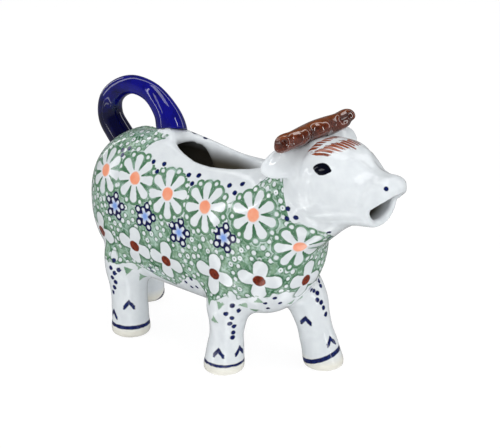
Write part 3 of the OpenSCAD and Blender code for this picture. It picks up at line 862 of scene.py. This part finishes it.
def ground_depth(co, lean, outside):
    """How far each vertex lies inside the green ground, in millimetres."""
    x, y, z = (co / MM).T
    top, low = (np.interp(x, GROUND[:, 0], GROUND[:, k]) for k in (1, 2))
    end = GROUND_END + (10.5 - np.abs(y)) * .6 - x
    cover = np.minimum(np.maximum(end, top - z), z - low)
    # It stops round the head and under the jaw
    head = np.sqrt(((x - 48) / 19.6) ** 2 + (y / 18) ** 2 + ((z - 96) / 18.5) ** 2)
    cover = np.minimum(cover, np.where(x < 44, (head - 1) * 18.5 + 1.5, 20))
    jaw = np.maximum(72.5 + .53 * np.abs(y), 100 - (x - 40) * 5)
    cover = np.minimum(cover, jaw - z)
    for notch in NOTCHES:
        away = np.linalg.norm(np.stack([x - notch[0], np.abs(y) - notch[1], z - notch[2]], 1), axis=1)
        cover = np.minimum(cover, away - NOTCH_RADIUS)
    on_seat = (np.hypot(x - SEAT_TOP[0], y) < 7.2) & (z > 96)
    return np.where(outside & ~on_seat & (lean[:, 2] >= -.97), cover, NO_GROUND)


def band_depth(co, lean):
    """How far each vertex lies inside the band round its foot, in millimetres."""
    x, y, z = (co / MM).T
    band = np.full(len(co), NO_BAND)
    for foot_x, foot_y, height, rise_x, rise_y, half in BANDS.values():
        near = np.hypot(x - foot_x, y - foot_y) < 16
        level = height + rise_x * (x - foot_x) + rise_y * (y - foot_y)
        band = np.where(near & (lean[:, 2] > -.9), np.maximum(band, half - np.abs(z - level)), band)
    return band


def strew_beads(mesh, co, cover, spots, faces, face_of, ids):
    """Writes at each corner where it is from the nearest white bead of the ground."""
    field = np.flatnonzero((cover > .4) & (spots.clear_of(co) > 0))
    picked = field[scatter(co[field], BEAD_SPACING, BEAD_SEED)]
    lookup = KDTree(len(picked))
    for k, p in enumerate(picked):
        lookup.insert(co[p], k)
    lookup.balance()
    nearest = np.zeros(len(faces), int)
    wanted = np.flatnonzero(np.bincount(face_of, cover[ids] > -2) > 0)
    for f in wanted:
        nearest[f] = lookup.find(faces[f])[1]
    spot = picked[nearest][face_of]
    gap = np.full((len(ids), 3), 9.0)
    on = np.isin(face_of, wanted)
    gap[on] = (co[ids][on] - co[spot[on]]) / MM
    attribute(mesh, "bead", "FLOAT_VECTOR", "CORNER", gap)
    sizes = np.random.default_rng(BEAD_SIZE_SEED).random(len(co))
    attribute(mesh, "bead_chance", "FLOAT", "CORNER", sizes[spot])


def stamp(obj, tree, skin_gap):
    """Writes on the body where its figures, its ground, its bands and the painted shade of its inside are."""
    mesh = obj.data
    co, lean = places(mesh), normals(mesh)
    outside = skin_gap < 1.2 * MM
    cover = ground_depth(co, lean, outside)
    attribute(mesh, "cover", "FLOAT", "POINT", cover)
    attribute(mesh, "band", "FLOAT", "POINT", band_depth(co, lean))
    x, _, z = (co / MM).T
    # Painted shade: the inner wall of the hollow darkens with depth below the back, but not towards the mouth
    inside = smooth_step(1.4, 2.8, skin_gap / MM) * smooth_step(2, 10, 96 - z) * smooth_step(78, 70, x)
    attribute(mesh, "inside", "FLOAT", "POINT", inside)

    faces, facing = (read_all(mesh.polygons, field).astype(float) for field in ("center", "normal"))
    ids = read_all(mesh.loops, "vertex_index", 1, np.int32)
    face_of = np.repeat(np.arange(len(faces)), read_all(mesh.polygons, "loop_total", 1, np.int32))
    skin = np.bincount(face_of, outside[ids]) > 3.5
    spots = Spots(tree)
    flat, chance = spots.lay(faces, facing, skin, face_of, co[ids])
    attribute(mesh, "figure", "FLOAT_VECTOR", "CORNER", flat)
    attribute(mesh, "chance", "FLOAT", "CORNER", chance)
    strew_beads(mesh, co, cover, spots, faces, face_of, ids)


# ---------------------------------------------------------------------------
# Glazes
# ---------------------------------------------------------------------------


class Wire:
    """A socket of a glaze that takes part in sums."""

    def __init__(self, glaze, socket):
        self.glaze, self.socket = glaze, socket

    def sum_of(self, operation, *values, clamp=False):
        settings = {"operation": operation, "use_clamp": clamp}
        return self.glaze.node("ShaderNodeMath", settings, dict(enumerate(values)))

    def __add__(self, other):
        return self.sum_of("ADD", self, other)

    __radd__ = __add__

    def __sub__(self, other):
        return self.sum_of("SUBTRACT", self, other)

    def __rsub__(self, other):
        return self.sum_of("SUBTRACT", other, self)

    def __mul__(self, other):
        return self.sum_of("MULTIPLY", self, other)

    __rmul__ = __mul__

    def __truediv__(self, other):
        return self.sum_of("DIVIDE", self, other)

    def __pow__(self, other):
        return self.sum_of("POWER", self, other)

    def __abs__(self):
        return self.sum_of("ABSOLUTE", self)

    def least(self, other):
        return self.sum_of("MINIMUM", self, other)

    def most(self, other):
        return self.sum_of("MAXIMUM", self, other)

    def call(self, operation):
        return self.sum_of(operation, self)

    def within(self, edge=.35):
        """1 where a distance is below zero, 0 where it is above, soft over an edge."""
        return self.sum_of("MULTIPLY_ADD", self, -1 / edge, .5, clamp=True)

    def between(self, low, high):
        """0 below the low value, 1 above the high one."""
        return self.sum_of("MULTIPLY_ADD", self, 1 / (high - low), -low / (high - low), clamp=True)


class Glaze:
    """A material and the one way to add nodes to it."""

    def __init__(self, name):
        self.material = bpy.data.materials.new(name)
        self.material.use_nodes = True
        self.tree = self.material.node_tree
        self.shader = self.tree.nodes["Principled BSDF"]

    def node(self, kind, settings=None, sockets=None, output=0):
        made = self.tree.nodes.new(kind)
        for key, value in (settings or {}).items():
            if key == "stops":
                elements = made.color_ramp.elements
                while len(elements) < len(value):
                    elements.new(.5)
                for element, (at, tint) in zip(elements, value):
                    element.position, element.color = at, (*tint, 1)
            else:
                setattr(made, key, value)
        for key, value in (sockets or {}).items():
            if isinstance(value, Wire):
                self.tree.links.new(value.socket, made.inputs[key])
            elif made.inputs[key].type == "RGBA":
                made.inputs[key].default_value = (*value[:3], 1)
            else:
                made.inputs[key].default_value = value
        return Wire(self, made.outputs[output])

    def read(self, name, output="Vector"):
        return self.node("ShaderNodeAttribute", {"attribute_name": name}, output=output)

    def parts(self, vector):
        made = self.tree.nodes.new("ShaderNodeSeparateXYZ")
        self.tree.links.new(vector.socket, made.inputs[0])
        return [Wire(self, out) for out in made.outputs]

    def mix(self, factor, a, b):
        return self.node("ShaderNodeMix", {"data_type": "RGBA"}, {0: factor, 6: a, 7: b}, output=2)

    def place(self):
        return self.node("ShaderNodeTexCoord", output="Object")

    def noise(self, where, grain, detail=2.0, roughness=.5):
        """Clouds with a grain in millimetres."""
        sockets = {"Vector": where, "Scale": 1 / (grain * MM), "Detail": detail, "Roughness": roughness}
        return self.node("ShaderNodeTexNoise", None, sockets)

    def finish(self, tint, roughness, bump=None, height=.1, index=1.5):
        self.set("Base Color", tint)
        self.set("Roughness", roughness)
        self.set("IOR", index)
        if bump is not None:
            made = self.node("ShaderNodeBump", None, {"Height": bump, "Distance": height * MM, "Strength": 1.0})
            self.set("Normal", made)
        return self.material

    def set(self, name, value):
        if isinstance(value, Wire):
            self.tree.links.new(value.socket, self.shader.inputs[name])
        else:
            socket = self.shader.inputs[name]
            socket.default_value = (*value, 1) if name == "Base Color" else value


def folded(angle, count, offset=0.0):
    """The angle from the nearest of a count of spokes."""
    step = 2 * math.pi / count
    turn = (angle - offset) * (1 / step)
    return (turn - turn.call("ROUND")) * step


def blob(x, y, radius):
    """Distance outside a disc."""
    return (x * x + y * y).call("SQRT") - radius


def petal(x, y, reach, slim, fat, start):
    """Distance outside a petal along X that widens up to its round tip."""
    rise = (fat - slim) / (reach - start)
    wide = x.least(reach).most(start) * rise + (slim - start * rise)
    over = x.sum_of("SUBTRACT", x, reach).most(0)
    under = x.sum_of("SUBTRACT", start, x).most(0)
    return (over * over + y * y + under * under).call("SQRT") - wide


def stamped_glaze(colours):
    """White glaze with the stamped flowers, dots and green ground under it."""
    g = Glaze("stamped_glaze")
    where = g.place()
    clouds = g.noise(where, 5, 3)
    fine = g.noise(where, 1.3, 2)
    wobble = g.noise(where, 2.6, 1)
    u, v, kind = g.parts(g.read("figure"))
    chance = g.read("chance", "Fac")
    u = u + (wobble - .5) * .9
    v = v + (fine - .5) * .5
    r = (u * u + v * v).call("SQRT")
    angle = u.sum_of("ARCTAN2", u, v)

    def is_kind(number):
        return kind.sum_of("COMPARE", kind, number, .3)

    white = g.mix(clouds.between(.35, .7), colours.glaze, colours.glaze_shade)
    height = g.parts(where)[2] * (1 / MM)
    # Painted light from the floor: a lighter, warmer white on the lowest 7 millimetres, full below 3
    white = g.mix(height.between(7, 3), white, colours.foot)
    # Painted shade over the inside of the hollow
    white = g.mix(g.read("inside", "Fac"), white, colours.inside)

    # The green ground, with white beads in it and pale veins
    bead = g.node("ShaderNodeVectorMath", {"operation": "LENGTH"}, {0: g.read("bead")}, output=1)
    bead_chance = g.read("bead_chance", "Fac")
    bead = bead + (fine - .5) * .5
    size = bead_chance * .4 + .82
    tone = clouds * .75 + fine * .25
    green = g.node("ShaderNodeValToRGB", {"stops": [
        (.32, colours.green_dark), (.42, colours.green), (.56, colours.green_pale), (.76, colours.mint)]}, {0: tone})
    mist = g.noise(where, 16, 1)
    green = g.mix(mist.between(.54, .66) * .55, green, colours.mint)
    rim = (abs(bead - size - .35) - .38).within(.4)
    green = g.mix(rim * .6, green, colours.green_dark)
    veins = g.node("ShaderNodeTexVoronoi", {"feature": "DISTANCE_TO_EDGE"},
                   {"Vector": where, "Scale": 1 / (3.6 * MM)}, output="Distance")
    vein = veins.between(.16, .05) * fine.between(.42, .6)
    green = g.mix(vein * .7, green, colours.mint)
    green = g.mix((bead - size).within(.3), green, white)
    green = g.mix((bead - .34).within(.25) * bead_chance.between(.8, .85), green, colours.green)
    cover = g.read("cover", "Fac") + (clouds - .5) * 2.5 + (wobble - .5) * 2
    tint = g.mix((cover * -1).within(.5), white, green)
    tint = g.mix((abs(cover - .35) - .3).within(.5) * .6, tint, colours.green_dark)

    # Daisy: eight petals, beads between their tips, a scalloped border and a salmon middle
    spoke = folded(angle, 8)
    petals = petal(r * spoke.call("COSINE"), r * spoke.call("SINE"), 9.05, .95, 2.2, 2)
    tip = abs(spoke) - math.pi / 8
    beads = blob(r * tip.call("COSINE") - 11.3, r * tip.call("SINE"), .95)
    border = (petals - 1.35).least(beads - 1.1)
    leaf_green = g.mix(r.between(4, 10) * .9 + (clouds - .5) * .9, colours.green_dark, colours.green)
    leaf_green = g.mix(clouds.between(.52, .7) * .7, leaf_green, colours.mint)
    daisy = g.mix((abs(border + .25) - .35).within(.4) * .45, leaf_green, colours.green_dark)
    daisy = g.mix(petals.least(beads).least(r - 3.9).within(.3), daisy, white)
    middle = ((u / 3) ** 2 + (v / 3) ** 2).call("SQRT") * 3 - 3
    salmon = g.mix(clouds.between(.3, .7), colours.salmon, colours.salmon_pale)
    daisy = g.mix(middle.within(.6), daisy, salmon)
    own = is_kind(DAISY)
    tint = g.mix(own * (border - .5).within(.8) * clouds.between(.4, .6), tint, g.mix(.4, white, colours.mint))
    tint = g.mix(own * border.within(.35), tint, daisy)

    # Star: five navy rings round a pale blue star
    spoke = folded(angle, 5, .55)
    ring_x, ring_y = r * spoke.call("COSINE") - 5.15, r * spoke.call("SINE")
    ring = blob(ring_x, ring_y, 2.05)
    hole = blob(ring_x, ring_y, 1)
    between_rings = abs(spoke) - math.pi / 5
    arm = petal(r * between_rings.call("COSINE"), r * between_rings.call("SINE"), 3.3, 1.1, .75, .4)
    star = g.mix(arm.within(.4), colours.navy, g.mix(r.between(.8, 3.2), colours.sky, white))
    star = g.mix(hole.within(.35), star, white)
    tint = g.mix(is_kind(STAR) * ring.least(r - 4.9).within(.35), tint, star)

    # Flower: four broad petals round a rust middle
    spoke = folded(angle, 4, .12)
    flower = petal(r * spoke.call("COSINE"), r * spoke.call("SINE"), 6.7, 2.5, 3.5, 1.5)
    own = is_kind(FLOWER)
    tint = g.mix(own * (flower - 1).within(1.4) * .8, tint, colours.green_dark)
    tint = g.mix(own * flower.within(.35), tint, white)
    middle = ((u / 2.9) ** 2 + (v / 2.8) ** 2).call("SQRT") * 2.8 - 2.8
    rust = g.mix(fine.between(.35, .65), colours.rust, colours.rust_dark)
    tint = g.mix(own * middle.within(.4), tint, rust)

    # Dots, chevrons, leaves and eyes
    navy = g.mix(fine.between(.4, .75), colours.navy, colours.navy_light)
    tint = g.mix(is_kind(DOT) * (r - 1.2).within(.4), tint, navy)
    stroke = (abs(abs(u) * .76 + v * .65 - .8) - .9).most(abs(u) - 2.9).most(abs(v) - 2.5)
    tint = g.mix(is_kind(CHEVRON) * stroke.within(.4), tint, navy)
    leaf = (abs(u) * .86 + v * .5 - 1.1).most(v * -1 - 1.5 + (fine - .5) * 3)
    leaf_tint = g.mix(clouds.between(.4, .6), colours.green, colours.green_pale)
    tint = g.mix(is_kind(LEAF) * leaf.within(.5), tint, leaf_tint)
    lid = (v * v * .2 + abs(u) - 4.2).most(abs(v) + u * u * .1 + abs(u) * .16 - 2.85)
    tint = g.mix(is_kind(EYE) * lid.within(.35), tint, colours.pupil)

    # Brown brush strokes of the fringe
    row = (v * (1 / 2.2)).call("ROUND")
    draw = g.node("ShaderNodeTexWhiteNoise", {"noise_dimensions": "1D"}, {"W": row + chance * 40})
    bristle = g.node("ShaderNodeCombineXYZ", None, {0: u * .4, 1: v * 1.4, 2: chance * 40})
    bristle = g.node("ShaderNodeTexNoise", None, {"Vector": bristle, "Scale": 1.6, "Detail": 1.0})
    dab = (abs(v - row * 2.2) + u * .25 - .86 + (bristle - .5) * .5).within(.25)
    dab = dab * (abs(u + (draw - .5) * .5) - .9 + (bristle - .5) * .6).within(.15) * (abs(row) - 5.3).within(.1)
    tint = g.mix(is_kind(BRUSH) * dab * .97, tint, g.mix(bristle.between(.3, .5), colours.rust_dark, colours.fringe))

    # Bands round the feet
    band = (g.read("band", "Fac") + (wobble - .5) * .6) * -1
    tint = g.mix(band.within(.35), tint, navy)
    rough = fine.between(0, 1) * .05 + .07
    return g.finish(tint, rough, g.noise(where, 9, 1))


def cobalt_glaze(colours):
    """Deep cobalt that thins to a lighter blue in streaks along the tail, and a lighter blue on the top of the loop
    that is thinner glaze and painted light from above.
    """
    g = Glaze("cobalt_glaze")
    where = g.place()
    streak = g.noise(where, 7, 3)
    fine = g.noise(where, 1.6, 2)
    x, _, z = g.parts(where)
    # The streaks are thin glaze; the rise towards the top and the front of the loop is thinner glaze and painted light
    # from above
    thin = streak * .5 + fine * .15 + (z + x * .35).between(.066, .096) * .34
    tint = g.mix(thin.between(.4, .68), colours.cobalt_dark, colours.cobalt)
    return g.finish(tint, .05, g.noise(where, 8, 1), .12, 1.65)


def brown_glaze(colours):
    """Brown glaze that pools dark at random and in the hollows of the horns, where the dark is also painted shade, with
    painted light on their top.
    """
    g = Glaze("brown_glaze")
    where = g.place()
    pool = g.noise(where, 5, 3)
    fine = g.noise(where, 1.2, 2)
    tint = g.mix((pool * .7 + fine * .3).between(.38, .64), colours.brown_pool_and_shade, colours.brown)
    x, y, z = g.parts(where)
    # Painted light: the top of the horn bar turns pale brown, as if lit from above
    top = (z - y * .052 - x * .35 - (.1169 - .043 * .35)) * (1 / MM) + (fine - .5) * 2
    tint = g.mix(top.between(1.8, 4) * .8, tint, colours.brown_painted_light)
    # Painted shade with pooled glaze: the pits pressed into the horn bar turn dark brown
    push = g.read("push", "Fac")
    tint = g.mix(push.between(-.3, -1.6) * .85, tint, colours.brown_pool_and_shade)
    return g.finish(tint, .1, g.noise(where, 5, 1), .1, 2.1)


def finish_piece(obj, material, slot, *nodes):
    obj.data.materials.clear()
    obj.data.materials.append(material)
    for polygon in obj.data.polygons:
        polygon.use_smooth = True
    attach(obj, "root")
    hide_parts(*nodes)
    return obj


# ---------------------------------------------------------------------------
# Stage
# ---------------------------------------------------------------------------


def path_of(glaze):
    """1 for what the camera sees straight or through glass, and 1 for what shows in gloss."""
    path = glaze.tree.nodes.new("ShaderNodeLightPath")
    straight, gloss, glass = (
        Wire(glaze, path.outputs[name]) for name in ("Is Camera Ray", "Is Glossy Ray", "Is Transmission Ray"))
    return straight.most(glass), gloss


def floor_paint(colours):
    """A pale floor, white in the picture with the object's shadow on it, dimmer in gloss but for a streak of light."""
    g = Glaze("floor")
    g.finish(tuple(colours.floor), .9)
    x, y, _ = g.parts(g.place())
    ahead, across = x * .663 - y * .749, x * .749 + y * .663
    # Two short bars behind the object, for the underside of the tail
    streak = ((across + .0525).sum_of("PINGPONG", across + .0525, .02325) - .008).within(.006)
    streak = streak * (abs(across) - .06).within(.01) * ahead.between(0, .03) * (ahead - .12).within(.03) * 2
    # A thin bar that runs off to the left
    thin = (abs(x * .749 - y * .663 - .03) - .004).within(.004)
    streak = streak + thin * (x * -.663 - y * .749).between(.03, .06) * 3
    # A broad bar in front
    away = x * -.55 - y * .83
    broad = (abs(x * .83 - y * .55 - .055) - .014).within(.004)
    streak = streak + broad * away.between(.12, .14) * (away - .42).within(.02) * 1.6
    straight, gloss = path_of(g)
    strength = straight * 1.06 + gloss * (streak + .14)
    glow = g.node("ShaderNodeEmission", None, {"Color": (1.0, 1.0, 1.0), "Strength": strength})
    mixed = g.node("ShaderNodeMixShader", None,
                   {0: straight * .84 + gloss * .9, 1: Wire(g, g.shader.outputs[0]), 2: glow})
    out = g.tree.nodes["Material Output"]
    g.tree.links.new(mixed.socket, out.inputs["Surface"])
    return g.material


class Air(Glaze):
    """The light all round, in the same way as a glaze."""

    def __init__(self, name):
        self.world = bpy.data.worlds.new(name)
        self.world.use_nodes = True
        self.tree = self.world.node_tree


def studio_air():
    """White behind the object, dimmer overhead in its gloss, and an even soft light."""
    g = Air("studio")
    background = g.tree.nodes["Background"]
    background.inputs["Color"].default_value = (1, 1, 1, 1)
    straight, gloss = path_of(g)
    x, y, height = g.parts(g.node("ShaderNodeTexCoord", output="Generated"))
    behind = x * -.618 + y * .698 + height * -.362
    arc = (abs(behind - .2) - .06).within(.06) * 2.6
    shown = straight.most(gloss * (arc - height.between(0, .4) * .17 + .22))
    lit = (1 - straight.most(gloss)) * .6
    strength = shown + lit
    g.tree.links.new(strength.socket, background.inputs["Strength"])
    return g.world


# The camera: how far round and up it stands, its distance, where it looks, its lens and its shift
CAMERA_ROUND, CAMERA_UP, CAMERA_DISTANCE = math.radians(41.5), math.radians(21.2), .64
CAMERA_AIM, CAMERA_LENS, CAMERA_SHIFT = (.007, 0, .062), 102.3, .0166
LAMP_AIM = (0, 0, .06)
LAMPS = (
    # Name, place, width and height, power, shows in gloss
    ("key", (-.6, -.8, .7), (.7, .9), 1.3, False),
    ("front", (.55, -.85, .4), (.5, .6), 2.9, False),
    ("side", (.95, .3, .5), (.5, .6), 2.5, False),
    ("top", (.1, -.1, 1.1), (.6, .5), 2.4, False),
    ("left strip", (-.3, -.42, .32), (.03, .6), .28, True),
    ("near strip", (-.56, -.76, .42), (.025, .5), .1, True),
    ("eye window", (-.14, -.69, .67), (.1, .45), .32, True),
    ("rear strip", (-1, .2, .3), (.08, .5), .35, True),
    ("top window", (.05, .1, 1.1), (.8, .4), 2.7, True),
    ("right strip", (.9, .15, .4), (.06, .7), 1.3, True),
)


# ---------------------------------------------------------------------------
# Operators
# ---------------------------------------------------------------------------


def keep_seat(solid):
    """Keeps the mesh that the tail and the horn bar are cut to, a little under the skin of the body."""
    if SEAT_MESH in bpy.data.meshes:
        bpy.data.meshes.remove(bpy.data.meshes[SEAT_MESH])
    seat = joined(SEAT_MESH, [solid])
    place(seat.data, places(seat.data) - SEAT_DEPTH * normals(seat.data))
    bpy.data.objects.remove(seat)


def seated(obj):
    """Cuts a piece to the body that it sits on."""
    seat = bpy.data.objects.new(SEAT_MESH, bpy.data.meshes[SEAT_MESH])
    bpy.context.scene.collection.objects.link(seat)
    carve(obj, seat)
    bpy.data.objects.remove(seat)
    return obj


def clear_bench():
    """Discards the forms that only served to shape a piece, which have no glaze."""
    for obj in list(bpy.context.scene.collection.objects):
        bare = obj.type == "MESH" and not any(obj.data.materials)
        if bare and "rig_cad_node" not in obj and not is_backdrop(obj):
            discard(obj)


class MakeStage(bpy.types.Operator):
    """Sets the camera, the pale floor and the soft lamps"""

    bl_idname = "creamer.make_stage"
    bl_label = "Make the stage"

    def execute(self, context):
        scene = context.scene
        ahead = Vector((-math.sin(CAMERA_ROUND) * math.cos(CAMERA_UP), math.cos(CAMERA_ROUND) * math.cos(CAMERA_UP),
                        -math.sin(CAMERA_UP)))
        right = Vector((math.cos(CAMERA_ROUND), math.sin(CAMERA_ROUND), 0))
        up = right.cross(ahead)
        data = bpy.data.cameras.new("camera")
        data.sensor_width, data.lens, data.shift_y = 36, CAMERA_LENS, CAMERA_SHIFT
        camera = bpy.data.objects.new("camera", data)
        turn = Matrix((right, up, -ahead)).transposed().to_4x4()
        camera.matrix_world = Matrix.Translation(Vector(CAMERA_AIM) - CAMERA_DISTANCE * ahead) @ turn
        scene.collection.objects.link(camera)
        scene.camera = camera
        scene.view_settings.view_transform = "Standard"

        bm = bmesh.new()
        bmesh.ops.create_grid(bm, x_segments=2, y_segments=2, size=3)
        floor = as_object("floor", bm)
        floor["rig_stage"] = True
        floor.data.materials.append(floor_paint(scene.creamer_colours))
        scene.world = studio_air()
        for name, spot, size, power, shows in LAMPS:
            light = bpy.data.lights.new(name, "AREA")
            light.shape, light.size, light.size_y, light.energy = "RECTANGLE", *size, power
            lamp = bpy.data.objects.new(name, light)
            lamp.location = spot
            lamp.rotation_mode = "QUATERNION"
            lamp.rotation_quaternion = (Vector(LAMP_AIM) - Vector(spot)).to_track_quat("-Z", "Y")
            lamp.visible_camera, lamp.visible_glossy, lamp.visible_diffuse = False, shows, not shows
            scene.collection.objects.link(lamp)
        return {"FINISHED"}


class MakeBody(bpy.types.Operator):
    """Models the hollow glazed body with its head, legs and ears"""

    bl_idname = "creamer.make_body"
    bl_label = "Make the body"

    def execute(self, context):
        shell, solid = model_body(context.scene.creamer_sizes)
        skin = tree_of(solid)
        stamp(shell, skin, gaps(places(shell.data), skin, 4 * MM))
        keep_seat(solid)
        finish_piece(shell, stamped_glaze(context.scene.creamer_colours), "stamped_glaze", "barrel", "head", "ear_left",
                     "ear_right", *LEGS)
        clear_bench()
        return {"FINISHED"}


class MakeTail(bpy.types.Operator):
    """Models the looped tail that serves as the handle, once the body is made"""

    bl_idname = "creamer.make_tail"
    bl_label = "Make the tail"

    def execute(self, context):
        tail = seated(carve(tail_form("tail_loop"), slab("below", False)))
        finish_piece(tail, cobalt_glaze(context.scene.creamer_colours), "cobalt_glaze", "tail_handle")
        clear_bench()
        return {"FINISHED"}


class MakeHorns(bpy.types.Operator):
    """Models the knobbly horn bar on the crown, once the body is made"""

    bl_idname = "creamer.make_horns"
    bl_label = "Make the horns"

    def execute(self, context):
        horns = seated(horn_form("horn_roll", context.scene.creamer_sizes))
        lean, before = normals(horns.data), places(horns.data)
        place(horns.data, press(before, lean, HORN_TOUCHES, both=False))
        attribute(horns.data, "push", "FLOAT", "POINT", ((places(horns.data) - before) * lean).sum(1) / MM)
        finish_piece(horns, brown_glaze(context.scene.creamer_colours), "brown_glaze", "horn_bar")
        return {"FINISHED"}


class CreamerPanel(bpy.types.Panel):
    """The creamer's pieces in the order in which they are made"""

    bl_label = "Cow creamer"
    bl_idname = "VIEW3D_PT_creamer"
    bl_space_type = "VIEW_3D"
    bl_region_type = "UI"
    bl_category = "Creamer"

    def draw(self, context):
        column = self.layout.column()
        for step in STEPS:
            column.operator(step.bl_idname)


STEPS = (MakeStage, MakeBody, MakeTail, MakeHorns)
CLASSES = (CreamerSizes, CreamerColours, *STEPS, CreamerPanel)


def register():
    for made in CLASSES:
        bpy.utils.register_class(made)
    bpy.types.Scene.creamer_sizes = PointerProperty(type=CreamerSizes)
    bpy.types.Scene.creamer_colours = PointerProperty(type=CreamerColours)


def unregister():
    del bpy.types.Scene.creamer_colours
    del bpy.types.Scene.creamer_sizes
    for made in reversed(CLASSES):
        bpy.utils.unregister_class(made)


def main():
    register()
    for step in STEPS:
        group, name = step.bl_idname.split(".")
        getattr(getattr(bpy.ops, group), name)()


if __name__ == "__main__":
    main()
